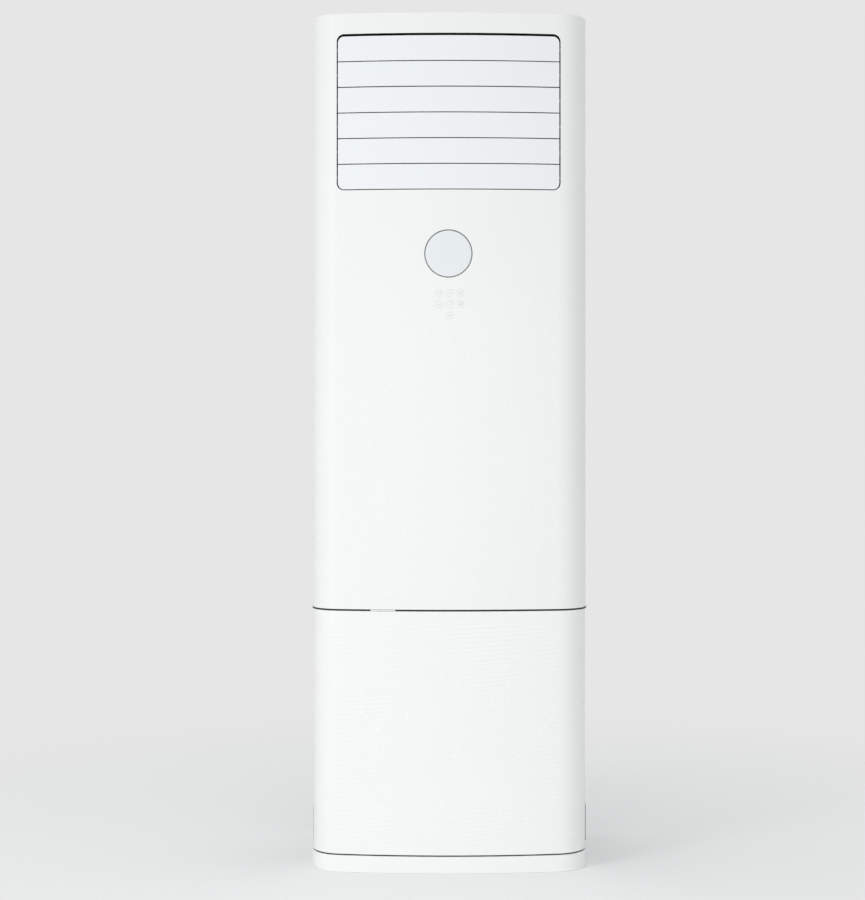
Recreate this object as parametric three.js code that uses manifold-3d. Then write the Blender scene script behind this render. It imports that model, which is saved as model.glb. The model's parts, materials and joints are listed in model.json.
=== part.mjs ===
// Floor standing air conditioner, indoor unit. Millimetres, +Z up, the front faces -Y.
// The origin is on the floor, under the middle of the cabinet.
import * as THREE from 'three';
import { mergeVertices } from 'three/addons/utils/BufferGeometryUtils.js';
import Module from 'manifold-3d';

const wasm = await Module();
wasm.setup();

// ---- Cabinet ----
const cabinetHeight = 1860;
const cabinetWidth = 600;
const cabinetDepth = 390; // from the foremost point of the bow to the wall face of the bracket
const bowRadius = 1650; // plan radius of the bowed front
const cornerRadius = 70; // plan radius where the front turns into the sides
const topFillet = 4;
const panelWall = 2.8; // moulded plastic panels
const sheet = 1.2; // folded steel sheet
const lowerPanelSetIn = 1; // the lower panel and the sides are this much narrower on each side
const stripProud = 1.5; // the seam strip stands out this far at the sides
const stripSetBack = 3; // and lies this far behind the front surface
const stripWidth = 28;
const plinthProud = 1;
const plinthHeight = 36;
const plinthWall = 5;
const plinthFloor = 3;
const plinthGap = 3.2; // dark gap between the plinth and the lower panel
const lowerPanelHeight = 526;
const seamGap = 4; // dark seam between the two front panels
const frontWrap = 90; // the front panels reach back this far from the foremost point
const seatGap = 0.3; // between pieces that seat on each other
const runGap = 0.4; // between a turning pin and its bore
const flangeWidth = 15; // folded edges of the sheet panels
const coverDrop = 18; // the top cover reaches this far down the sides
const bracketWall = 1.5;
const bracketHalf = 60;
const bracketHalfHeight = 22;
const bracketDrop = 60; // wall bracket below the top
const bracketSlotX = 40;
const bracketSlotHalf = 9;
const bracketSlotRadius = 3;
const swageHeights = [400, 900, 1400];
const swageHalfHeight = 14;
const swageMargin = 70;
const spare = 10; // cutting tools run past what they cut
const boreSides = 8; // pins have fewer sides than their bores, so that they turn freely
const pinSides = 6;
const wireOpeningNear = 118; // openings in the deck for pipes and wires
const wireOpeningRun = 110;
const wireOpeningMargin = 4; // behind the deck's front apron

// ---- Pegs that hold the lower front panel ----
const pegRadius = 4;
const pegSpread = 180;
const pegLow = 62;
const pegDrop = 18; // upper pegs below the deck
const pegSocketDepth = 37; // sockets behind the foremost point
const pegSocketWall = 3;
const pegSocketHalf = 12;
const pegReach = 46; // from the front surface to the pegs' ends
const pegBossRadius = 7;
const pegBossLength = 8;
const ribDepth = 8; // the lower panel's top and bottom rims
const ribWall = 2;

// ---- Air outlet ----
const windowTopDrop = 47.7; // below the top of the cabinet
const windowSideMargin = 58.5;
const windowCornerRadius = 16;
const louvreCount = 6;
const louvreHeight = 54.1;
const louvreGap = 1.4;
const louvreTopGap = 3.4;
const louvreBottomGap = 0.8;
const louvreSideGap = 1.7;
const louvreWall = 2.4;
const louvrePivotDepth = 30; // pivot line behind the foremost point of the bow
const shaftRadius = 3;
const cheekWall = 2.5;
const crankRadius = 10;
const crankWall = 2.5;
const crankHalf = 4.5;
const crankPinRadius = 1.6;
const linkWall = 2.5;
const linkHalf = 3.6;
const linkSlack = 0.8; // sideways room between the crank arms and the link bar
const ductWall = 2.5;
const ductSideRoom = 2.5; // from the window edge to the duct's side wall
const ductTopRoom = 12.2;
const ductBottomRoom = 11.5;
const ductDepth = 135;
const vaneCount = 7;
const vaneMargin = 46;
const vaneChord = 56;
const vaneWall = 2;
const vanePivotDepth = 95;
const vaneEndGap = 3;
const vaneStubRadius = 4;
const vanePinRadius = 1.6;
const vanePinReach = 24; // crank pin behind the pivot
const vaneNotchHeight = 10;
const vaneNotchDepth = 8;
const vaneSocketDepth = 7; // the motor's shaft reaches into the driven vane
const vaneBarDrop = 60; // the vane bar runs this far above the duct floor
const vaneBarWall = 3;
const vaneBarHalf = 3.4;
const stepperRadius = 17.5;
const stepperDepth = 18;
const stepperEarSpan = 42;
const stepperEarRadius = 4.5;
const stepperShaftRadius = 2;
const linkMotorBehind = 50; // louvre motor axis behind the louvre pivots

// ---- Display and keys ----
const displayRadius = 51.4;
const displaySides = 32;
const displayGap = 0.6;
const displayDrop = 138.9; // below the outlet window
const keyRadius = 7.5;
const keySides = 12;
const keyGap = 0.3;
const keyFlangeLip = 1.5;
const keyStemRadius = 2.4;
const keyPitchX = 23.1;
const keyPitchZ = 24.3;
const keyShiftX = 3;
const keyDrop = 85.2; // first row below the display centre
const keyTravel = 0.8;
const keyFlangeGap = 0.8; // the flange that holds a key in its hole, behind the panel
const keyFlangeWall = 1.2;
const boardDepth = 20; // circuit board behind the inner face of the panel
const boardWall = 1.6;
const boardHalf = 56;
const boardMargin = 14;
const switchHeight = 8;
const switchHalf = 3;
const digitsHalf = 34;
const digitsHalfHeight = 18;
const digitsDepth = 12;
const bossRadius = 4;
const bossInset = 7; // from the board's edges

// ---- Coil section ----
const frontPlateWall = 12;
const coilThickness = 50;
const coilLength = 790;
const coilTilt = 14.5; // degrees back from upright
const coilSideRoom = 50;
const coilBays = 16; // the fins stand this many bays apart, front and back of a thin web
const coilFinWall = 3;
const coilWeb = 2;
const coilFootY = 133; // coil foot behind the foremost point
const tubeRadius = 4.8;
const tubePitch = 120;
const tubeSpread = 13;
const tubeSheetWall = 2;
const headerReach = 24; // beyond the tube sheet
const headerSetOff = 9; // before and behind the coil
const headerBase = 60;
const headerFeedRise = 40;
const panHeight = 42;
const panWall = 2.5;
const panRun = 84;
const panRestHeight = 5;
const panRestHalf = 3;
const spoutRadius = 9;
const spoutWall = 2;
const spoutLength = 26;
const spoutInset = 40; // from the pan's left end
const spoutRise = 12;
const guideWall = 30;
const guideBend = 180;
const controlBoxHeight = 380;
const controlBoxHalf = 115;
const controlBoxDepth = 46;
const controlBoxWall = 1.5;
const controlBoxDrop = 45;
const controlBoxLip = 12; // the cover reaches this far over the box
const controlBoxEarHalf = 30;
const controlBoxEarReach = 12;
const wireHoleRadius = 11;
const wireHoleX = 60;
const postRadius = 4;
const postHeight = 9;
const postInset = 20;
const postDrop = 30; // upper posts below the box's top
const postPitch = 180;
const mainBoardDrop = 15; // below the control box's top
const mainBoardInset = 10;
const mainBoardHeight = 215;
const capacitorRadius = 12;
const capacitorHeight = 26;
const capacitorX = 60;
const capacitorDrop = 60; // below the board's top
const inductorRadius = 15;
const inductorHeight = 18;
const inductorX = 20;
const inductorDrop = 150;
const relayCount = 3;
const relayWidth = 18;
const relayPitch = 28;
const relayLength = 28;
const relayHeight = 15;
const relayX = -90;
const relayDrop = 32;
const sinkWidth = 50;
const sinkLength = 60;
const sinkHeight = 20;
const sinkX = -80;
const sinkDrop = 110;
const connectorCount = 4;
const connectorWidth = 24;
const connectorPitch = 42;
const connectorLength = 8;
const connectorHeight = 9;
const connectorX = -88;
const connectorDrop = 198;
const terminalCount = 6;
const terminalPitch = 14;
const terminalWall = 3; // between the terminals
const terminalHalfHeight = 14;
const terminalDepth = 16;
const terminalBayDepth = 7;
const terminalRise = 70; // above the control box's floor

// ---- Fan section ----
const wheelRadius = 170;
const wheelWidth = 108;
const wheelInnerRadius = 140;
const bladeCount = 24;
const bladeWall = 2.2;
const wheelDiscWall = 2.5;
const hubDishRadius = 78;
const hubDishDepth = 42;
const hubRadius = 15;
const hubLength = 24;
const fanShaftRadius = 6;
const fanCentreX = -22;
const fanCentreZ = 285;
const scrollStart = 180;
const scrollEnd = 255;
const tongueAngle = 60;
const scrollWall = 1.5;
const scrollDepth = 130;
const scrollRearRoom = 43; // from the scroll to the rear panel
const wheelSideGap = 7.5;
const inletThroat = 126;
const inletFlange = 176;
const inletFlare = 24;
const inletBellDepth = 12;
const inletNose = 4; // the ring reaches this far into the wheel
const inletLap = 22; // of its flange on the scroll
const inletWall = 2.2;
const motorRadius = 60;
const motorFlangeRadius = 72;
const motorBodyDepth = 68;
const motorNoseGap = 8; // from the wheel's dish to the motor
const motorBoreDepth = 22;
const bracketOuterRadius = 124;
const bracketSheet = 2.5;
const bracketLap = 20; // of the motor bracket on the scroll
const bracketWindowRadius = 13;
const bracketWindowSpread = 90;

// ---- Side intakes ----
const intakeBottom = 140;
const intakeHeight = 385;
const intakeRun = 104;
const intakeBehindSeam = 12; // behind the joint between the front panels and the sides
const grilleDepth = 13;
const grilleRim = 6;
const slatCount = 14;
const slatWall = 2.4;
const filterDepth = 6;
const filterRim = 8;
const netWall = 0.8;
const pipeCoverHeight = 80;
const pipeCoverRun = 80;
const pipeCoverBottom = 48;
const pipeCoverProud = 2;
const pipeHoleRadius = 30;
const pipeSides = 12;

// ---- Derived places ----
const frontY = -cabinetDepth / 2;
const wallFaceY = cabinetDepth / 2;
const rearY = wallFaceY - bracketWall;
const bodyHalf = cabinetWidth / 2;
const sideHalf = bodyHalf - lowerPanelSetIn;
const sideInner = sideHalf - sheet;
const seamY = frontY + frontWrap; // the front panels end here
const sideFrontY = seamY + seatGap;
const lowerPanelBottom = plinthHeight + plinthGap;
const lowerPanelTop = lowerPanelBottom + lowerPanelHeight;
const deckTop = lowerPanelTop;
const upperPanelBottom = lowerPanelTop + seamGap;
const windowHalf = bodyHalf - windowSideMargin;
const windowTop = cabinetHeight - windowTopDrop;
const louvrePitch = louvreHeight + louvreGap;
const louvreStack = louvreCount * louvrePitch - louvreGap;
const windowBottom = windowTop - louvreTopGap - louvreStack - louvreBottomGap;
const louvreHalf = windowHalf - louvreSideGap;
const pivotY = frontY + louvrePivotDepth;
const firstPivotZ = windowTop - louvreTopGap - louvreHeight / 2;
const ductHalf = windowHalf + ductSideRoom;
const ductTop = windowTop + ductTopRoom;
const ductBottom = windowBottom - ductBottomRoom;
const ductRearY = frontY + ductDepth;
const displayZ = windowBottom - displayDrop;
const pegSocketY = frontY + pegSocketDepth;
const pipeCoverY = seamY + 10 + pipeCoverRun / 2;
const pipeCoverZ = pipeCoverBottom + pipeCoverHeight / 2;

// ---- Shape helpers ----
const arcSteps = 4; // three.js draws each arc with twice this number of sides

function asSolid(geometry) {
  const bare = geometry.clone();
  bare.deleteAttribute('normal');
  bare.deleteAttribute('uv');
  const merged = mergeVertices(bare, 1e-4);
  const corners = merged.index.array;
  const kept = [];
  for (let i = 0; i < corners.length; i += 3) {
    const [a, b, c] = [corners[i], corners[i + 1], corners[i + 2]];
    if (a !== b && b !== c && c !== a) kept.push(a, b, c);
  }
  const vertProperties = Float32Array.from(merged.attributes.position.array);
  const triVerts = Uint32Array.from(kept);
  return new wasm.Manifold(new wasm.Mesh({ numProp: 3, vertProperties, triVerts }));
}

function asGeometry(solid) {
  const { vertProperties, triVerts, numProp } = solid.getMesh();
  const geometry = new THREE.BufferGeometry();
  const corners = new Float32Array(triVerts.length * 3);
  triVerts.forEach((v, i) => {
    for (let k = 0; k < 3; k += 1) corners[3 * i + k] = vertProperties[v * numProp + k];
  });
  geometry.setAttribute('position', new THREE.BufferAttribute(corners, 3));
  geometry.computeVertexNormals();
  return geometry;
}

const join = (...solids) => solids.reduce((whole, solid) => whole.add(solid));
const cut = (solid, ...tools) => tools.reduce((left, tool) => left.subtract(tool), solid);

// How a drawn shape stands: u and v of the drawing, and the way it is extruded.
const stand = {
  x: new THREE.Matrix4().makeBasis(
    new THREE.Vector3(0, 1, 0), new THREE.Vector3(0, 0, 1), new THREE.Vector3(1, 0, 0)),
  y: new THREE.Matrix4().makeBasis(
    new THREE.Vector3(1, 0, 0), new THREE.Vector3(0, 0, 1), new THREE.Vector3(0, -1, 0)),
  z: new THREE.Matrix4(),
};

// Extrudes a shape between two places on an axis. Along x the shape is drawn in (y, z), along y in (x, z).
function extrude(shape, axis, from, to, steps = arcSteps) {
  const depth = to - from;
  const geometry = new THREE.ExtrudeGeometry(shape, { depth, bevelEnabled: false, curveSegments: steps });
  geometry.applyMatrix4(stand[axis]);
  const start = { x: [from, 0, 0], y: [0, to, 0], z: [0, 0, from] }[axis];
  geometry.translate(...start);
  return asSolid(geometry);
}

function block(x0, x1, y0, y1, z0, z1) {
  const geometry = new THREE.BoxGeometry(x1 - x0, y1 - y0, z1 - z0);
  geometry.translate((x0 + x1) / 2, (y0 + y1) / 2, (z0 + z1) / 2);
  return asSolid(geometry);
}

// A round bar along an axis, at (u, v) in the plane across it.
function bar(axis, radius, from, to, u, v, sides = 8) {
  const geometry = new THREE.CylinderGeometry(radius, radius, to - from, sides);
  geometry.rotateX(Math.PI / 2);
  geometry.translate(0, 0, (from + to) / 2);
  if (axis === 'x') geometry.applyMatrix4(stand.x);
  if (axis === 'y') geometry.applyMatrix4(new THREE.Matrix4().makeRotationX(-Math.PI / 2));
  const place = { x: [0, u, v], y: [u, 0, v], z: [u, v, 0] }[axis];
  geometry.translate(...place);
  return asSolid(geometry);
}

function roundedRectangle(u0, u1, v0, v1, radius) {
  const shape = new THREE.Shape();
  shape.moveTo(u0 + radius, v0);
  shape.lineTo(u1 - radius, v0);
  shape.absarc(u1 - radius, v0 + radius, radius, -Math.PI / 2, 0);
  shape.lineTo(u1, v1 - radius);
  shape.absarc(u1 - radius, v1 - radius, radius, 0, Math.PI / 2);
  shape.lineTo(u0 + radius, v1);
  shape.absarc(u0 + radius, v1 - radius, radius, Math.PI / 2, Math.PI);
  shape.lineTo(u0, v0 + radius);
  shape.absarc(u0 + radius, v0 + radius, radius, Math.PI, Math.PI * 1.5);
  return shape;
}

// The cabinet's plan: a bowed front, round corners and straight sides, drawn inset from the skin.
function planShape(half, foremost, rear, inset) {
  const bow = bowRadius - inset;
  const corner = cornerRadius - inset;
  const bowCentre = foremost + bowRadius;
  const cornerX = half - cornerRadius;
  const cornerY = bowCentre - Math.sqrt((bowRadius - cornerRadius) ** 2 - cornerX ** 2);
  const swing = Math.asin(cornerX / (bowRadius - cornerRadius));
  const front = Math.PI * 1.5;
  const shape = new THREE.Shape();
  shape.moveTo(half - inset, rear);
  shape.lineTo(inset - half, rear);
  shape.lineTo(inset - half, cornerY);
  shape.absarc(-cornerX, cornerY, corner, Math.PI, front - swing);
  shape.absarc(0, bowCentre, bow, front - swing, front + swing);
  shape.absarc(cornerX, cornerY, corner, front + swing, Math.PI * 2);
  return shape;
}

// The plan stood up as a solid and cut off square at the rear, wherever that falls.
function plan(half, foremost, rear, inset, z0, z1) {
  const whole = extrude(planShape(half, foremost, rear + cornerRadius, inset), 'z', z0, z1);
  return whole.intersect(block(-half - 1, half + 1, foremost - 1, rear, z0 - 1, z1 + 1));
}

// The upright cabinet body with its rounded top edge. It runs on below the floor, to be cut.
function cabinetForm(inset) {
  const fillet = topFillet - Math.min(inset, topFillet - 1);
  const spare = 60;
  const geometry = new THREE.ExtrudeGeometry(planShape(bodyHalf, frontY, rearY + spare, inset), {
    depth: cabinetHeight + spare - inset - 2 * fillet,
    curveSegments: arcSteps,
    bevelThickness: fillet,
    bevelSize: fillet,
    bevelOffset: -fillet,
    bevelSegments: 2,
  });
  geometry.translate(0, 0, fillet - spare);
  return asSolid(geometry);
}

// The same span of x on either side of the cabinet.
const span = (side, near, far) => (side > 0 ? [near, far] : [-far, -near]);

// Where the bowed front lies at x, for a skin inset by the given wall.
const bowY = (x, inset = 0) => frontY + bowRadius - Math.sqrt((bowRadius - inset) ** 2 - x * x);

// ---- Scene graph ----
const group = new THREE.Group();

const finishes = {
  whitePlastic: { color: 0xf2f3f1, roughness: 0.35, metalness: 0 },
  blueWhitePlastic: { color: 0xe9eef2, roughness: 0.3, metalness: 0 },
  paintedSteel: { color: 0xeeefed, roughness: 0.45, metalness: 0 },
  darkPlastic: { color: 0x1b1c1e, roughness: 0.6, metalness: 0 },
  greyPlastic: { color: 0xb9bcbf, roughness: 0.55, metalness: 0 },
  galvanised: { color: 0xb4b8ba, roughness: 0.4, metalness: 0.9 },
  aluminium: { color: 0xc9cdd0, roughness: 0.35, metalness: 0.9 },
  copper: { color: 0xb8703f, roughness: 0.35, metalness: 0.9 },
  steel: { color: 0x9a9da0, roughness: 0.35, metalness: 0.9 },
  foam: { color: 0xe4e4df, roughness: 0.95, metalness: 0 },
  circuitBoard: { color: 0x2f6b3f, roughness: 0.6, metalness: 0 },
  displayGlass: { color: 0xdfe5e9, roughness: 0.08, metalness: 0 },
  keyPlastic: { color: 0xf2f3f1, roughness: 0.4, metalness: 0 },
  blackFan: { color: 0x2a2c2e, roughness: 0.5, metalness: 0 },
};

function place(name, solid, finish) {
  const mesh = new THREE.Mesh(asGeometry(solid), new THREE.MeshStandardMaterial(finishes[finish]));
  mesh.name = name;
  group.add(mesh);
  return mesh;
}

// ---- Base, deck and casing ----
const scrollFrontY = rearY - 2 * sheet - seatGap - scrollRearRoom - scrollDepth;
const scrollBackY = scrollFrontY + scrollDepth;
const scrollTop = deckTop - sheet - seatGap;
const growth = (scrollEnd - scrollStart) / (360 - tongueAngle);
const radians = (degrees) => (degrees * Math.PI) / 180;
const tongueX = fanCentreX + scrollStart * Math.cos(radians(tongueAngle));
const channelX = fanCentreX + scrollEnd;

// The blower's scroll, seen from the front: a spiral round the wheel, and the channel up to the deck.
function scrollForm(offset, y0, y1, top) {
  const spiral = new THREE.Shape();
  for (let angle = tongueAngle; angle <= 360; angle += 15) {
    const radius = scrollStart + growth * (angle - tongueAngle) + offset;
    const x = fanCentreX + radius * Math.cos(radians(angle));
    const z = fanCentreZ + radius * Math.sin(radians(angle));
    if (angle === tongueAngle) spiral.moveTo(x, z);
    else spiral.lineTo(x, z);
  }
  const channel = block(tongueX - offset, channelX + offset, y0, y1, fanCentreZ, top);
  return join(extrude(spiral, 'y', y0, y1), channel);
}

function plinth() {
  const half = bodyHalf + plinthProud;
  const body = plan(half, frontY, rearY, 0, 0, plinthHeight);
  const pocket = plan(half, frontY, rearY - plinthWall, plinthWall, plinthFloor, plinthHeight + spare);
  const saddle = cut(
    block(fanCentreX - 90, fanCentreX + 90, scrollFrontY + 20, scrollBackY - 20, 1, fanCentreZ - 180),
    scrollForm(scrollWall + seatGap, scrollFrontY - spare, scrollBackY + spare, scrollTop));
  const sockets = [-1, 1].map((side) => cut(
    block(side * pegSpread - pegSocketHalf, side * pegSpread + pegSocketHalf,
      pegSocketY, pegSocketY + pegSocketWall, 1, pegLow + pegSocketHalf),
    bar('y', pegRadius + seatGap, pegSocketY - 1, pegSocketY + spare, side * pegSpread, pegLow)));
  return join(cut(body, pocket), saddle, ...sockets);
}
place('base_plinth', plinth(), 'whitePlastic');

function lowerFrontPanel() {
  const rim = (inset, z0, z1) => plan(sideHalf, frontY, seamY + spare, inset, z0, z1);
  const body = plan(sideHalf, frontY, seamY, 0, lowerPanelBottom, lowerPanelTop);
  const throughout = rim(ribDepth, lowerPanelBottom - 1, lowerPanelTop + 1);
  const hollow = rim(panelWall, lowerPanelBottom + ribWall, lowerPanelTop - ribWall);
  const pegs = [-1, 1].flatMap((side) => [pegLow, deckTop - pegDrop].map((z) => {
    const root = bowY(pegSpread, panelWall) - 1;
    const x = side * pegSpread;
    const boss = bar('y', pegBossRadius, root, root + pegBossLength, x, z, pinSides);
    return join(bar('y', pegRadius, root, frontY + pegReach, x, z, pinSides), boss);
  }));
  return join(cut(body, throughout, hollow), ...pegs);
}
place('lower_front_panel', lowerFrontPanel(), 'whitePlastic');

function seamStrip() {
  const z0 = lowerPanelTop + seatGap;
  const z1 = upperPanelBottom - seatGap;
  const half = bodyHalf + stripProud;
  const foremost = frontY + stripSetBack;
  return cut(
    plan(half, foremost, seamY, 0, z0, z1),
    plan(half, foremost, seamY + spare, stripWidth, z0 - 1, z1 + 1));
}
place('seam_strip', seamStrip(), 'darkPlastic');

function fanDeck() {
  const z0 = deckTop - sheet;
  const front = plan(sideHalf, frontY, sideFrontY + sheet + 1, flangeWidth + seatGap, z0, deckTop);
  const rear = block(
    seatGap - sideInner, sideInner - seatGap, sideFrontY + sheet + seatGap, rearY - 2 * sheet - 2 * seatGap,
    z0, deckTop);
  const outlet = block(
    tongueX, channelX, scrollFrontY + scrollWall, scrollBackY - scrollWall, z0 - 1, deckTop + 1);
  const apronHalf = pegSpread + 30;
  const apron = block(-apronHalf, apronHalf, pegSocketY, pegSocketY + sheet, deckTop - 2 * pegDrop, deckTop);
  const holes = [-1, 1].map((side) =>
    bar('y', pegRadius + seatGap, pegSocketY - 1, pegSocketY + spare, side * pegSpread, deckTop - pegDrop));
  const wireOpenings = [-1, 1].map((side) => block(
    ...span(side, wireOpeningNear, wireOpeningNear + wireOpeningRun), pegSocketY + sheet + wireOpeningMargin,
    seamY - frontPlateWall, z0 - 1, deckTop + 1));
  return cut(join(front, rear, apron), outlet, ...holes, ...wireOpenings);
}
place('fan_deck', fanDeck(), 'galvanised');

const sideTop = cabinetHeight - coverDrop - seatGap;
const intakeY0 = seamY + intakeBehindSeam;

// A side panel is folded from sheet: seen from above, a skin with a flange at each end.
function sidePanel(side) {
  const lip = sideHalf - flangeWidth;
  const section = new THREE.Shape([
    [sideHalf, sideFrontY], [sideHalf, rearY], [lip, rearY], [lip, rearY - sheet],
    [sideInner, rearY - sheet], [sideInner, sideFrontY + sheet], [lip, sideFrontY + sheet], [lip, sideFrontY],
  ].map(([x, y]) => new THREE.Vector2(side * x, y)));
  const folded = extrude(section, 'z', plinthHeight, sideTop);
  const through = span(side, sideInner - spare / 2, sideHalf + spare);
  const intake = block(...through, intakeY0, intakeY0 + intakeRun, intakeBottom, intakeBottom + intakeHeight);
  const pipeHole = bar('x', pipeHoleRadius, ...through, pipeCoverY, pipeCoverZ, pipeSides);
  return cut(folded, intake, pipeHole);
}

function pipeCover(side) {
  const outline = roundedRectangle(
    pipeCoverY - pipeCoverRun / 2, pipeCoverY + pipeCoverRun / 2,
    pipeCoverBottom, pipeCoverBottom + pipeCoverHeight, 6);
  const plate = extrude(outline, 'x', ...span(side, sideHalf, sideHalf + pipeCoverProud), 2);
  const spigot = bar('x', pipeHoleRadius - seatGap, ...span(side, sideInner - 4, sideHalf + 1),
    pipeCoverY, pipeCoverZ, pipeSides);
  const hollow = bar('x', pipeHoleRadius - 3, ...span(side, sideInner - 5, sideHalf),
    pipeCoverY, pipeCoverZ, pipeSides);
  return cut(join(plate, spigot), hollow);
}
for (const [name, side] of [['left', -1], ['right', 1]]) {
  place(`${name}_side_panel`, sidePanel(side), 'paintedSteel');
  place(`pipe_cover_${name}`, pipeCover(side), 'whitePlastic');
}

const rearPanelY = rearY - sheet - seatGap; // outer face
function rearPanel() {
  const half = sideInner - seatGap;
  const plate = block(-half, half, rearPanelY - sheet, rearPanelY, plinthHeight, cabinetHeight - topFillet);
  const swageHalf = half - swageMargin;
  const swages = swageHeights.map((z) => extrude(
    roundedRectangle(-swageHalf, swageHalf, z - swageHalfHeight, z + swageHalfHeight, swageHalfHeight - 0.5),
    'y', rearPanelY - 0.5, rearPanelY + 1, 1));
  return join(plate, ...swages);
}
place('rear_panel', rearPanel(), 'paintedSteel');

function topCover() {
  const half = bodyHalf + 1;
  const low = cabinetHeight - coverDrop;
  const region = (y0, y1, z0) => block(-half, half, y0, y1, z0, cabinetHeight + 1);
  const inner = cabinetForm(sheet).intersect(region(sideFrontY - 1, rearY - sheet, low - 1));
  return cut(cabinetForm(0).intersect(region(sideFrontY, rearY, low)), inner);
}
place('top_cover', topCover(), 'paintedSteel');

function wallBracket() {
  const z = cabinetHeight - bracketDrop;
  const plate = extrude(
    roundedRectangle(-bracketHalf, bracketHalf, z - bracketHalfHeight, z + bracketHalfHeight, 6),
    'y', rearPanelY, wallFaceY, 1);
  const slots = [-1, 1].map((side) => extrude(
    roundedRectangle(
      side * bracketSlotX - bracketSlotHalf, side * bracketSlotX + bracketSlotHalf,
      z - bracketSlotRadius, z + bracketSlotRadius, bracketSlotRadius - 0.1),
    'y', rearPanelY - 1, wallFaceY + 1, 1));
  return cut(plate, ...slots);
}
place('wall_bracket', wallBracket(), 'galvanised');

// ---- Upper front panel, display and keys ----
const boardFrontY = frontY + panelWall + boardDepth;
const boardTop = displayZ + displayRadius + boardMargin;
const keyRowZ = [0, 1, 2].map((row) => displayZ - keyDrop - row * keyPitchZ);
const boardBottom = keyRowZ[2] - boardMargin;
const keys = [
  ...[-1, 0, 1].map((column) => ({ x: keyShiftX + column * keyPitchX, z: keyRowZ[0] })),
  ...[-1, 0, 1].map((column) => ({ x: keyShiftX + column * keyPitchX, z: keyRowZ[1] })),
  { x: keyShiftX, z: keyRowZ[2] },
];
const boardCorners = [-1, 1].flatMap((side) =>
  [boardBottom + bossInset, boardTop - bossInset].map((z) => [side * (boardHalf - bossInset), z]));

function upperFrontPanel() {
  const region = block(-bodyHalf - 1, bodyHalf + 1, frontY - 1, seamY, upperPanelBottom, cabinetHeight + 1);
  const shell = cut(cabinetForm(0).intersect(region), cabinetForm(panelWall));
  const toolDepth = [frontY - spare, frontY + 40];
  const edge = roundedRectangle(-windowHalf, windowHalf, windowBottom, windowTop, windowCornerRadius);
  const window = extrude(edge, 'y', ...toolDepth, 3);
  const displayHole = bar('y', displayRadius + displayGap, ...toolDepth, 0, displayZ, displaySides);
  const keyHoles = keys.map(({ x, z }) => bar('y', keyRadius + keyGap, ...toolDepth, x, z, keySides));
  const bosses = boardCorners.map(([x, z]) =>
    bar('y', bossRadius, frontY + panelWall / 2, boardFrontY - seatGap, x, z, pinSides));
  return cut(join(shell, ...bosses), window, displayHole, ...keyHoles);
}
place('upper_front_panel', upperFrontPanel(), 'whitePlastic');

// A disc as thick as the panel, with the panel's bow on both faces.
const bowedDisc = (radius, x, z, sides, wall) =>
  bar('y', radius, frontY - spare, frontY + 30, x, z, sides).intersect(cut(
    plan(bodyHalf, frontY, seamY, 0, z - radius - 1, z + radius + 1),
    plan(bodyHalf, frontY, seamY + 1, wall, z - radius - 2, z + radius + 2)));
place('display_window', bowedDisc(displayRadius, 0, displayZ, displaySides, panelWall), 'displayGlass');

function displayBoard() {
  const board = block(-boardHalf, boardHalf, boardFrontY, boardFrontY + boardWall, boardBottom, boardTop);
  const digits = block(
    -digitsHalf, digitsHalf, boardFrontY - digitsDepth, boardFrontY + 1,
    displayZ - digitsHalfHeight, displayZ + digitsHalfHeight);
  const switches = keys.map(({ x, z }) => block(
    x - switchHalf, x + switchHalf, boardFrontY - switchHeight, boardFrontY + 1,
    z - switchHalf, z + switchHalf));
  return join(board, digits, ...switches);
}
place('display_board', displayBoard(), 'circuitBoard');

function keyCap({ x, z }) {
  const flangeFront = frontY + panelWall + keyFlangeGap;
  const flangeRear = flangeFront + keyFlangeWall;
  const front = plan(bodyHalf, frontY, seamY, 0, z - keyRadius - 1, z + keyRadius + 1);
  const cap = bar('y', keyRadius, frontY - 1, flangeRear - 0.2, x, z, keySides).intersect(front);
  const flange = bar('y', keyRadius + keyFlangeLip, flangeFront, flangeRear, x, z);
  const stemEnd = boardFrontY - switchHeight - keyTravel - 0.1;
  const stem = bar('y', keyStemRadius, flangeRear - 1, stemEnd, x, z, pinSides);
  return join(cap, flange, stem);
}
keys.forEach((key, i) => place(`key_${i + 1}`, keyCap(key), 'keyPlastic'));

// ---- Air outlet: duct, louvres and their link, vanes and theirs ----
const crankX = ductHalf + ductWall + linkSlack; // inner face of the crank arms, outside the duct wall
const linkX = crankX + crankWall + linkSlack;
const driveX = linkX + linkWall + linkSlack;
const louvreMotorX = driveX + crankWall + linkSlack;
const louvreZ = Array.from({ length: louvreCount }, (_, i) => firstPivotZ - i * louvrePitch);
const louvreMotorY = pivotY + linkMotorBehind;
const louvreMotorZ = (louvreZ[0] + louvreZ[louvreCount - 1]) / 2;
const vaneY = frontY + vanePivotDepth;
const vanePitch = (2 * (ductHalf - vaneMargin)) / (vaneCount - 1);
const vaneX = Array.from({ length: vaneCount }, (_, i) => vaneMargin - ductHalf + i * vanePitch);
const drivenVane = (vaneCount - 1) / 2;
const vaneBarZ = ductBottom + vaneBarDrop;
const vanePinY = vaneY + vanePinReach;

// A flat arm with round ends, from one bore to another, drawn in the plane across its axle.
function armShape(u0, v0, reach, half) {
  const shape = new THREE.Shape();
  shape.moveTo(u0, v0 - half);
  shape.lineTo(u0 + reach, v0 - half);
  shape.absarc(u0 + reach, v0, half, -Math.PI / 2, Math.PI / 2);
  shape.lineTo(u0, v0 + half);
  shape.absarc(u0, v0, half, Math.PI / 2, Math.PI * 1.5);
  return shape;
}

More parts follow.
